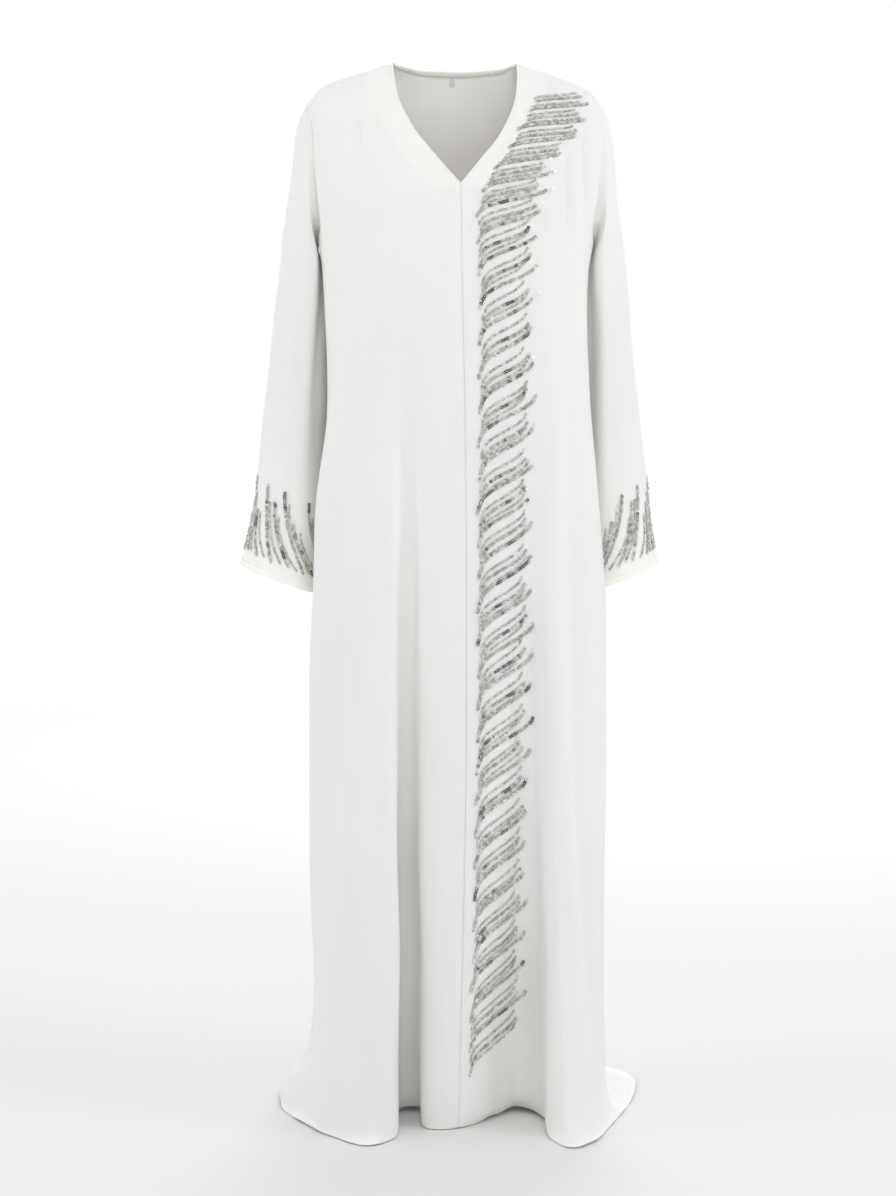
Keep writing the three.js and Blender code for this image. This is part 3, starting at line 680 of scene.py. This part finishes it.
# angle round the section, depth and width in degrees; a ridge has a depth below 0
SLEEVE_FOLDS = ((62, 4, 16), (106, -5, 14), (142, 8, 20), (238, 7, 22))
SLEEVE_ROWS = stops((12, 8, 10, 16, 16, 16, 18, 14, 10, 8))
SLEEVE_COLUMNS = 96
CUFF_HEM = 10


def sleeve_points(side, rows, angles):
    """Points of a sleeve at each row and angle, both as arrays."""
    sections = np.array([section_points(s, side, angles) for s in SLEEVE_SECTIONS])
    centres = np.array([
        [side * (out_x + in_x) / 2, middle_y, (out_z + in_z) / 2]
        for (out_x, out_z), (in_x, in_z), middle_y, *_ in SLEEVE_SECTIONS
    ])
    grid = through(sections, rows)
    inward = unit(through(centres[:, None], rows) - grid)
    length = rows / (len(SLEEVE_SECTIONS) - 1)
    fade = np.maximum(np.sin(np.pi * np.minimum(1, length * 1.15) ** 0.8), 0)
    degrees = np.degrees(angles) % 360
    for angle, depth, width in SLEEVE_FOLDS:
        share = np.exp(-(((degrees - angle) / width) ** 2))
        grid = grid + inward * (depth * fade[:, None] * share[None, :])[..., None]
    grid[..., 0] -= SLEEVE_SWING * length[:, None] ** 2
    return grid


# Creases of the sleeves, the x for the left sleeve, as on the fronts
SLEEVE_CREASES = (
    (9, 1.3, (222, -392), (204, -420), (180, -436)),
    (10, -1.1, (230, -440), (210, -462), (186, -472)),
    (9, 0.9, (236, -540), (232, -570), (228, -620)),
    (8, 1.1, (206, -120), (211, -190), (216, -260)),
    (7, -1.0, (196, -110), (197, -170), (201, -250)),
    (6, -1.2, (190, -150), (188, -260), (192, -420), (196, -540)),
    (10, -3.5, (178, -215), (170, -270), (166, -325), (168, -400), (168, -460)),
)

sleeve_skins = {}
for name, side in (("sleeve_left", 1), ("sleeve_right", -1)):
    angles = -side * np.arange(SLEEVE_COLUMNS) * 2 * math.pi / SLEEVE_COLUMNS
    grid = sleeve_points(side, SLEEVE_ROWS, angles)
    down, from_cuff = distance_along(grid, 0)
    around = np.broadcast_to(np.arange(SLEEVE_COLUMNS) * 4.0, down.shape)
    creases = [(w, h, *[(side * x, z) for x, z in line]) for w, h, *line in SLEEVE_CREASES]
    outer, inner = hang(
        grid, closed=True, grooves=[(down, around)], turned=[(from_cuff, CUFF_HEM, 0.9)],
        creases=creases,
    )
    sleeve = piece("crepe_" + name, skins_mesh("crepe_" + name, outer, inner, closed=True), crepe)
    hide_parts(name)
    sleeve_skins[name] = outer

# Neck binding and label
# Inside the back neckline lies a strip of plain cotton tape that covers the seam, with a small bare
# satin label sewn under its middle.
TAPE = 1.0
LABEL_HALF = 3.6
LABEL_LENGTH = 12
LABEL_THICK = 0.7
back_inner = body["back"]["inner"]


def under_back_neck(distances, places):
    """Points and normals of the inner skin of the back, so far below the neckline."""
    points, normals = [], []
    inward = -outward_normals(back_grid)
    down = distance_along(back_inner, 0)[0]
    for place in places:
        column = np.clip(place, 0, back_inner.shape[1] - 1.001)
        k, part = int(column), column - int(column)
        line, lean, depth = (
            values[:40, k] * (1 - part) + values[:40, k + 1] * part for values in (back_inner, inward, down)
        )
        points.append([[np.interp(d, depth, line[:, i]) for i in range(3)] for d in distances])
        normals.append([[np.interp(d, depth, lean[:, i]) for i in range(3)] for d in distances])
    return np.array(points).transpose(1, 0, 2), unit(np.array(normals).transpose(1, 0, 2))


def inside_strip(name, distances, places, thick, *materials):
    points, normals = under_back_neck(distances, places)
    share = (np.asarray(distances) - distances[0]) / (distances[-1] - distances[0])
    crown = np.sin(np.pi * np.clip(share, 0.04, 0.96)) ** 0.35
    far = points + normals * (0.25 + thick * crown)[:, None, None]
    near = points + normals * 0.15
    mesh = skins_mesh(name, near[:, ::-1], far[:, ::-1])
    return piece(name, mesh, *materials), far, normals


# Cotton tape: a matt fine twill, with ribs that run across it
TWILL = 1.2
tape = new_material("white_cotton_tape")
ribs = node(
    tape, "ShaderNodeTexWave",
    {"Vector": position(tape), "Scale": 1000 / TWILL / 6.28, "Distortion": 0.6},
    wave_type="BANDS", bands_direction="DIAGONAL",
).outputs["Fac"]
finish_material(
    tape, Base_Color=toned(tape, ribs, "#f1efe9", "#f8f6f1"), Roughness=0.85, IOR=1.47,
    Specular_IOR_Level=0.25, Normal=bump(tape, ribs, 0.0001, 0.4),
)

middle_column = (len(BACK_LEFT_LINES) - 1) * BACK_COLUMNS
neck_reach = NECK_LINE * BACK_COLUMNS - 0.5
binding_places = np.linspace(middle_column - neck_reach, middle_column + neck_reach, 97)
binding, binding_skin, binding_normals = inside_strip(
    "neck_binding_tape", np.linspace(0.7, BINDING_WIDTH, 10), binding_places, TAPE, tape
)
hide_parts("neck_binding")

# Woven satin: smooth, with a soft gloss along its floats
satin = new_material("bare_white_satin")
drawn_out = node(satin, "ShaderNodeMapping", {"Vector": position(satin), "Scale": (1, 1, 6)})
floats = node(
    satin, "ShaderNodeTexNoise",
    {"Vector": drawn_out.outputs["Vector"], "Scale": 700, "Detail": 2},
).outputs["Fac"]
finish_material(
    satin, Base_Color=toned(satin, floats, "#eeeeec", "#fafaf8"), Roughness=0.38, IOR=1.5,
    Anisotropic=0.4, Normal=bump(satin, floats, 0.0001, 0.4),
)
column_width = np.linalg.norm(back_grid[4, middle_column + 1] - back_grid[4, middle_column])
label_half = LABEL_HALF / column_width
label, label_skin, label_normals = inside_strip(
    "bare_label",
    np.linspace(BINDING_WIDTH + 0.3, BINDING_WIDTH + 0.3 + LABEL_LENGTH, 14),
    np.linspace(middle_column - label_half, middle_column + label_half, 12),
    LABEL_THICK, satin,
)
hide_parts("size_label")

# Stitching
# White polyester thread, machine-sewn in 3 mm stitches: round the hem, down both edges of the V,
# round the cuffs, and along both edges of the neck tape.
STITCH = 2.5
STITCH_STEP = 3.2
THREAD = 0.42
FROM_FOLD = 1.5  # the row of stitches is so far inside the turned edge


def resampled(points, step):
    """Places every step along a line of points, as pairs of point number and share."""
    run = run_of(points)
    wanted = np.arange(step / 2, run[-1], step)
    i = np.clip(np.searchsorted(run, wanted) - 1, 0, len(run) - 2)
    return i, (wanted - run[i]) / np.maximum(run[i + 1] - run[i], 1e-9)


def stitches(line, normals):
    """Corners and faces of a row of stitches, each one a thin spindle, in millimetres."""
    i, share = resampled(line, STITCH_STEP)
    middle = line[i] + (line[i + 1] - line[i]) * share[:, None]
    along = unit(line[i + 1] - line[i])
    up = unit(normals[i])
    side = np.cross(along, up)
    middle = middle + up * 0.06
    corners = np.stack([
        middle - along * STITCH / 2 - up * 0.15, middle + side * THREAD / 2, middle + up * THREAD * 0.6,
        middle - side * THREAD / 2, middle + along * STITCH / 2 - up * 0.15,
    ], axis=1)
    faces = np.array([(0, 1, 2), (0, 2, 3), (4, 2, 1), (4, 3, 2), (0, 3, 1), (4, 1, 3)])
    every = (np.arange(len(middle)) * 5)[:, None, None] + faces[None]
    return corners.reshape(-1, 3), every.reshape(-1, 3)


def edge_line(skin, distance, wanted):
    """The line of a skin at a wanted distance from an edge, with one point for each column."""
    line = np.empty((skin.shape[1], 3))
    for j in range(skin.shape[1]):
        order = np.argsort(distance[:, j])
        for k in range(3):
            line[j, k] = np.interp(wanted, distance[order, j], skin[order, j, k])
    return line


def thread_piece(name, rows):
    """One mesh of several rows of stitches."""
    counts = np.cumsum([0] + [len(corners) for corners, _ in rows])
    faces = np.concatenate([faces + count for (_, faces), count in zip(rows, counts)])
    mesh = new_mesh(name, np.concatenate([corners for corners, _ in rows]), faces)
    mesh.shade_smooth()
    piece(name, mesh, thread)


# Spun thread with a dull gloss; its colour goes lighter and darker along its twist as a painted sheen
TWIST = 0.8
thread = new_material("white_polyester_thread")
painted_twist_sheen = node(
    thread, "ShaderNodeTexNoise", {"Vector": position(thread), "Scale": 1000 / TWIST, "Detail": 2}
)
finish_material(
    thread, Base_Color=toned(thread, painted_twist_sheen.outputs["Fac"], "#dcdcda", "#f0f0ee"), Roughness=0.5, IOR=1.5
)

hem_lines = []
v_lines = []
for panel in body.values():
    grid, outer, normals = panel["grid"], panel["outer"], outward_normals(panel["grid"])
    line = edge_line(outer, distance_along(grid, 0)[1], HEM_DEPTH - FROM_FOLD)
    hem_lines.append(stitches(line, normals[-6]))
    if panel["v_side"]:
        on_last = panel["v_side"] == "last"
        upper = PANEL_ROWS <= V_ROW
        from_edge = distance_along(grid, 1)[on_last]
        line = edge_line(outer[upper].transpose(1, 0, 2), from_edge[upper].T, V_HEM - 0.8)
        v_lines.append(stitches(line, normals[upper][:, -4 if on_last else 3]))
thread_piece("hem_stitching", hem_lines)
thread_piece("v_neck_stitching", v_lines)

cuff_lines = []
for name, skin in sleeve_skins.items():
    from_cuff = distance_along(skin, 0)[1]
    ring = edge_line(skin, from_cuff, CUFF_HEM - FROM_FOLD)
    lean = outward_normals(skin, True)[-5]
    cuff_lines.append(stitches(np.concatenate([ring, ring[:1]]), np.concatenate([lean, lean[:1]])))
thread_piece("cuff_stitching", cuff_lines)

tape_lines = [stitches(binding_skin[k], binding_normals[k]) for k in (1, -2)]
tape_lines.append(stitches(label_skin[1], label_normals[1]))
thread_piece("neck_tape_stitching", tape_lines)

# Sequins and beads
# Cup sequins of smoked, silvered and clear film, each held by a small glass bead and laid overlapping
# along curved strokes. Those of the heavy strokes are 4.4 to 5 mm wide, and those of the thin strokes
# between them 3.2 to 3.7 mm.
CUP_SIDES = 8


def cup():
    """A cup sequin of radius 1: its middle, an inner ring and the rim."""
    turn = np.arange(CUP_SIDES) * 2 * math.pi / CUP_SIDES
    ring = np.stack([np.cos(turn), np.sin(turn), np.zeros(CUP_SIDES)], axis=1)
    points = np.concatenate([[(0, 0, 0.05)], ring * 0.45 + (0, 0, 0.09), ring + (0, 0, 0.36)])
    faces = []
    for k in range(CUP_SIDES):
        after = (k + 1) % CUP_SIDES
        inner, inner_next = 1 + k, 1 + after
        rim, rim_next = 1 + CUP_SIDES + k, 1 + CUP_SIDES + after
        faces += [(0, inner, inner_next), (inner, rim, rim_next), (inner, rim_next, inner_next)]
    return points, np.array(faces)


def bead():
    """A cut glass bead of radius 1."""
    g = (1 + math.sqrt(5)) / 2
    corners = [(-1, g, 0), (1, g, 0), (-1, -g, 0), (1, -g, 0), (0, -1, g), (0, 1, g),
               (0, -1, -g), (0, 1, -g), (g, 0, -1), (g, 0, 1), (-g, 0, -1), (-g, 0, 1)]
    faces = [(0, 11, 5), (0, 5, 1), (0, 1, 7), (0, 7, 10), (0, 10, 11), (1, 5, 9), (5, 11, 4),
             (11, 10, 2), (10, 7, 6), (7, 1, 8), (3, 9, 4), (3, 4, 2), (3, 2, 6), (3, 6, 8),
             (3, 8, 9), (4, 9, 5), (2, 4, 11), (6, 2, 10), (8, 6, 7), (9, 8, 1)]
    return unit(np.array(corners)), np.array(faces)


FILM_CELL = 3.4  # about a sequin's width


def film(name, dark, light, metallic, roughness, coat):
    """Sequin film: its tone changes from one sequin to the next, and it keeps a hard gloss."""
    material = new_material(name)
    cells = node(material, "ShaderNodeTexVoronoi", {"Vector": position(material), "Scale": 1000 / FILM_CELL})
    grey = node(material, "ShaderNodeSeparateColor", {"Color": cells.outputs["Color"]})
    return finish_material(
        material, Base_Color=toned(material, grey.outputs["Red"], dark, light), Metallic=metallic,
        Roughness=roughness, IOR=1.57, Coat_Weight=coat, Coat_Roughness=0.06,
    )


# Polyester film, vacuum-coated or clear: near-black smoke, mirror-like grey and a pale glassy grey,
# and a pure white film that is a painted glint: its white stands in for light caught on a sequin
smoke_film = film("smoked_sequin_film", "#262523", "#5a5854", 0.5, 0.3, 0.5)
silver_film = film("silvered_sequin_film", "#8f8d88", "#dad7d1", 0.3, 0.36, 0.3)
clear_film = film("clear_sequin_film", "#aeaba6", "#eceae5", 0.1, 0.3, 0.5)
painted_glint_film = film("white_sequin_film_painted_glint", "#f1f1f2", "#ffffff", 0.0, 0.2, 1.0)
glass = film("cut_glass_beads", "#c9c7c3", "#f6f5f2", 0.1, 0.15, 0.9)
SMOKE, SILVER, CLEAR, GLASS, PAINTED_GLINT = range(5)  # the materials' numbers on a mesh

# The strokes of the front start on its inner border and rise to the wearer's left. Down the front:
# height, border x, width of a long stroke, its rise, and the step from one group to the next
STROKES = (
    (-52, 97, 70, 9, 25),
    (-67, 92, 72, 10, 26),
    (-97, 75, 90, 14, 25),
    (-125, 59, 86, 18, 28),
    (-160, 32, 85, 23, 30),
    (-201, 21, 88, 35, 34),
    (-250, 20, 80, 50, 41),
    (-300, 23, 71, 57, 44),
    (-390, 22, 70, 62, 43),
    (-660, 21, 70, 70, 41),
    (-860, 20, 68, 70, 40.5),
    (-1145, 15, 69, 70, 39),
    (-1250, 10, 75, 66, 38.5),
    (-1300, 9, 78, 62, 38.5),
)
# Four strokes make a group: how far below its top each one starts, how far out from the border, its
# width, its rise and its weight
GROUP = (
    (0.0, 1.5, 0.79, 0.84, "thin"), (0.19, 3.0, 0.82, 0.80, "heavy"),
    (0.49, 0.5, 0.84, 0.88, "thin"), (0.69, -1.5, 1.0, 1.0, "heavy"),
)
# The stroke's own curve: share of its width, share of its rise
CURVE = (
    (0, 0), (0.04, 0.18), (0.12, 0.34), (0.28, 0.48), (0.5, 0.61), (0.7, 0.72),
    (0.86, 0.835), (0.95, 0.92), (1, 1.03),
)
LAST_STROKE = -1297
GLINT_RADIUS = 2.6

stroke_table = np.array(STROKES, float)[::-1]
stroke_curve = through(np.array(CURVE), np.linspace(0, len(CURVE) - 1, 60))
random = np.random.default_rng(41)

front_skin = body["front_left"]["outer"]
skin_rows, skin_columns = front_skin.shape[:2]
skin_faces = [
    (k, k + skin_columns, k + skin_columns + 1, k + 1)
    for k in range((skin_rows - 1) * skin_columns) if (k + 1) % skin_columns
]
skin_tree = BVHTree.FromPolygons(front_skin.reshape(-1, 3).tolist(), skin_faces)


def on_front(x, z):
    """The point and normal of the left front, straight behind a place of the front view."""
    return skin_tree.ray_cast(Vector((x, -600, z)), Vector((0, 1, 0)))[:2]


# How far apart the sequins of a stroke lie, their least and greatest radius, and the share of silver
WEIGHTS = {
    "heavy": {"step": 3.0, "radius": (2.2, 2.5), "silver": 0.7},
    "thin": {"step": 2.5, "radius": (1.6, 1.85), "silver": 0.35},
}
DARK_BELOW = -185  # no dark sequins on the shoulder


def spread(weight, points, normals, fade, out, loose=0.0):
    """Lays the sequins and beads of one stroke, and adds them to the lists of their kind.

    fade pales the stroke, and loose is the share of sequins that its far end leaves out.
    """
    size = WEIGHTS[weight]
    i, share = resampled(points, size["step"])
    dark_run = 0
    for k, part in zip(i, share):
        place = points[k] + (points[k + 1] - points[k]) * part
        along = unit(points[k + 1] - points[k])
        normal = unit(normals[k])
        # On the slope of the shoulder the sequins hang forward
        scale_like = unit(normal + along * 0.15 + np.array([0, -0.7, 0]) * max(normal[2], 0))
        near_end = k / len(points) > 0.86
        if random.random() < (loose if near_end else 0.015):
            continue
        jitter = random.normal(0, 0.15, 3)
        tone = random.random()
        dark_run = max(dark_run - 1, 0)
        if weight == "heavy" and place[2] < DARK_BELOW and tone < 0.06 * (1 - 0.5 * fade):
            dark_run = int(random.integers(1, 5))
        kind = SMOKE if dark_run else SILVER if tone < size["silver"] - 0.3 * fade else CLEAR
        radius = random.uniform(*size["radius"])
        lift = random.uniform(0.4, 0.9)
        out["cups"].append((place + normal * lift + jitter, scale_like, radius, kind))
        bead_radius = radius * random.uniform(0.34, 0.42)
        out["beads"].append((place + scale_like * (lift + 0.5) + jitter, normal, bead_radius, GLASS))


def lay_out(name, shape, laid, tilt, smooth):
    """One mesh of many copies of a shape, each one standing on the cloth with its own tilt."""
    points, faces = shape
    places, normals, radii, kinds = (np.array(column) for column in zip(*laid))
    lean = unit(normals + random.normal(0, 1, (len(places), 3)) * tilt)
    aside = unit(np.cross(lean, [0.3, 0.1, 1.0]))
    basis = np.stack([aside, np.cross(lean, aside), lean], axis=1)
    corners = places[:, None] + radii[:, None, None] * (points @ basis)
    every = (np.arange(len(places)) * len(points))[:, None, None] + faces[None]
    mesh = new_mesh(name, corners.reshape(-1, 3), every.reshape(-1, 3))
    mesh.polygons.foreach_set("material_index", np.repeat(kinds, len(faces)))
    mesh.polygons.foreach_set("use_smooth", np.full(len(mesh.polygons), smooth))
    mesh.update()
    piece(name, mesh, smoke_film, silver_film, clear_film, glass, painted_glint_film)


SEQUIN_TILT = 0.24

front_strokes = {"cups": [], "beads": []}
top = STROKES[0][0] + 3.0
while top > LAST_STROKE:
    step = np.interp(top, stroke_table[:, 0], stroke_table[:, 4])
    for below, out_by, length, height, weight in GROUP:
        start = top - below * step + random.normal(0, 0.014) * step
        if start < LAST_STROKE:
            continue
        border, width, rise = (
            np.interp(start, stroke_table[:, 0], stroke_table[:, c]) for c in (1, 2, 3)
        )
        border += out_by + random.normal(0, 0.8)
        reach = width * length * random.normal(1, 0.03)
        climb = rise * height * random.normal(1, 0.02)
        line, lean = [], []
        for across, up in stroke_curve:
            point, normal = on_front(border + across * reach, start + up * climb)
            if point is not None:
                line.append(tuple(point))
                lean.append(tuple(normal))
        if len(line) > 4:
            fade = ease((-start - 700) / 500)
            loose = 0.5 * float(length == 1 and -650 < start < -150)
            spread(weight, np.array(line), np.array(lean), float(fade), front_strokes, loose)
            # Painted glints: a few sequins of pure white film beyond the ends of the upper strokes, white
            # that stands in for light caught by clear sequins
            if weight == "heavy" and -480 < start < -120 and random.random() < 0.6:
                for _ in range(int(random.integers(1, 4))):
                    place = np.array(line[-1]) + random.normal(0, 1, 3) * (4.5, 0.3, 5)
                    glint = (place, unit(np.array(lean[-1])), GLINT_RADIUS, PAINTED_GLINT)
                    front_strokes["cups"].append(glint)
    top -= step
lay_out("front_stroke_sequins", cup(), front_strokes["cups"], SEQUIN_TILT, False)
lay_out("front_stroke_beads", bead(), front_strokes["beads"], 0, True)

# Cuff strokes: steep fans that lean towards the body as they come down
CUFF_STEP = 26  # degrees between heavy strokes
CUFF_CLEAR = 21  # plain cloth above the cuff's hem
CUFF_LENGTHS = (70, 92, 62, 88)

for name, side in (("sleeve_right", -1), ("sleeve_left", 1)):
    cuff_strokes = {"cups": [], "beads": []}
    skin = sleeve_skins[name]
    for number, bottom_angle in enumerate(np.arange(0, 360, CUFF_STEP / 2)):
        weight = "heavy" if number % 2 == 0 else "thin"
        length = CUFF_LENGTHS[(number // 2) % 4] * random.uniform(0.93, 1.07)
        length *= 1 if weight == "heavy" else 0.82
        fan = 35 - 20 * math.cos(math.radians(bottom_angle))
        share = np.linspace(0, 1, 40)
        degrees = bottom_angle - fan * (1 - (1 - share) ** 1.8) + random.normal(0, 1.2)
        clear = CUFF_CLEAR + random.uniform(-2, 2)
        line, lean = [], []
        for angle, part in zip(np.radians(degrees), share):
            column = (-side * angle / (2 * math.pi) * SLEEVE_COLUMNS) % SLEEVE_COLUMNS
            j, between_two = int(column), column - int(column)
            after = (j + 1) % SLEEVE_COLUMNS
            ray = skin[:, j] * (1 - between_two) + skin[:, after] * between_two
            run = run_of(ray)
            wanted = run[-1] - clear - part * length
            line.append([np.interp(wanted, run, ray[:, i]) for i in range(3)])
            row = int(np.searchsorted(run, wanted))
            across = skin[row, after] - skin[row, j - 1]
            down = skin[row] - skin[row - 2]
            lean.append(unit(np.cross(down[j], across)))
        spread(weight, np.array(line), np.array(lean), 0.0, cuff_strokes)
    stroke_name = name.replace("sleeve", "cuff_stroke")
    lay_out(stroke_name + "_sequins", cup(), cuff_strokes["cups"], SEQUIN_TILT, False)
    lay_out(stroke_name + "_beads", bead(), cuff_strokes["beads"], 0, True)

# Floor and light
# A plain pale floor under the hem that fades into a white room. The room lights it evenly, with four
# soft lamps: in front, to the wearer's left, to the right, and a strong one behind.
FLOOR_RADIUS = 9.0
FLOOR_SIDES = 96
FLOOR_FADE = (0.4, 5.0)  # where the floor starts to fade, and where it is gone
ROOM_LIGHT = 0.82

floor_mesh = bpy.data.meshes.new("floor")
floor_turn = np.arange(FLOOR_SIDES) * 2 * math.pi / FLOOR_SIDES
floor_rim = [(math.cos(a) * FLOOR_RADIUS, math.sin(a) * FLOOR_RADIUS, 0) for a in floor_turn]
floor_faces = [(0, 1 + k, 1 + (k + 1) % FLOOR_SIDES) for k in range(FLOOR_SIDES)]
floor_mesh.from_pydata([(0, 0, 0)] + floor_rim, [], floor_faces)
floor = linked("floor", floor_mesh)
floor.location.z = (FLOOR - 0.4) / 1000

# Painted board with a faint glow: matt, even and nearly white, with only faint shadows. It blends
# into white haze, so that no horizon shows.
BOARD_GLOW = 0.03
board = new_material("pale_painted_board")
board_place = node(board, "ShaderNodeTexCoord").outputs["Object"]
away = node(board, "ShaderNodeVectorMath", {0: board_place}, operation="LENGTH").outputs["Value"]
faded = node(
    board, "ShaderNodeMapRange",
    {"Value": away, "From Min": FLOOR_FADE[0], "From Max": FLOOR_FADE[1], "To Min": 1, "To Max": 0},
    interpolation_type="SMOOTHSTEP",
)
painted = node(
    board, "ShaderNodeBsdfPrincipled",
    {
        "Base Color": colour("#e3e3e3"), "Roughness": 0.9,
        "Emission Color": colour("#ffffff"), "Emission Strength": BOARD_GLOW,
    },
)
haze = node(board, "ShaderNodeEmission", {"Color": (1, 1, 1, 1), "Strength": 1})
blend = node(
    board, "ShaderNodeMixShader",
    {0: faded.outputs["Result"], 1: haze.outputs["Emission"], 2: painted.outputs["BSDF"]},
)
node(board, "ShaderNodeOutputMaterial", {"Surface": blend.outputs["Shader"]})
floor_mesh.materials.append(board)

world = bpy.data.worlds.new("white_room")
bpy.context.scene.world = world
bpy.context.scene.view_settings.view_transform = "Standard"  # white stays white
world.use_nodes = True
world.node_tree.nodes.clear()
seen = node(world, "ShaderNodeLightPath").outputs["Is Camera Ray"]
room = node(world, "ShaderNodeBackground", {"Color": colour("#fcfbfa"), "Strength": ROOM_LIGHT})
wall = node(world, "ShaderNodeBackground", {"Color": (1, 1, 1, 1), "Strength": 1})
both = node(
    world, "ShaderNodeMixShader",
    {0: seen, 1: room.outputs["Background"], 2: wall.outputs["Background"]},
)
node(world, "ShaderNodeOutputWorld", {"Surface": both.outputs["Shader"]})

LAMP_TINT = "#f5f8ff"
LAMP_AIM = Vector((0, 0, -0.65))  # the middle of the abaya


def soft_lamp(name, place, size, power):
    light = bpy.data.lights.new(name, "AREA")
    light.shape = "DISK"
    light.size = size
    light.energy = power
    light.color = colour(LAMP_TINT)[:3]
    lamp = linked(name, light)
    lamp.location = place
    lamp.rotation_euler = (LAMP_AIM - lamp.location).to_track_quat("-Z", "Y").to_euler()
    lamp.visible_camera = False


soft_lamp("front_lamp", (0.3, -3.4, 0.1), 2.0, 18)
soft_lamp("left_lamp", (2.7, -1.5, 1.8), 1.4, 19)
soft_lamp("right_lamp", (-3.4, -0.7, 0.9), 1.8, 15)
soft_lamp("back_lamp", (0.8, 4.2, 0.8), 2.4, 72)
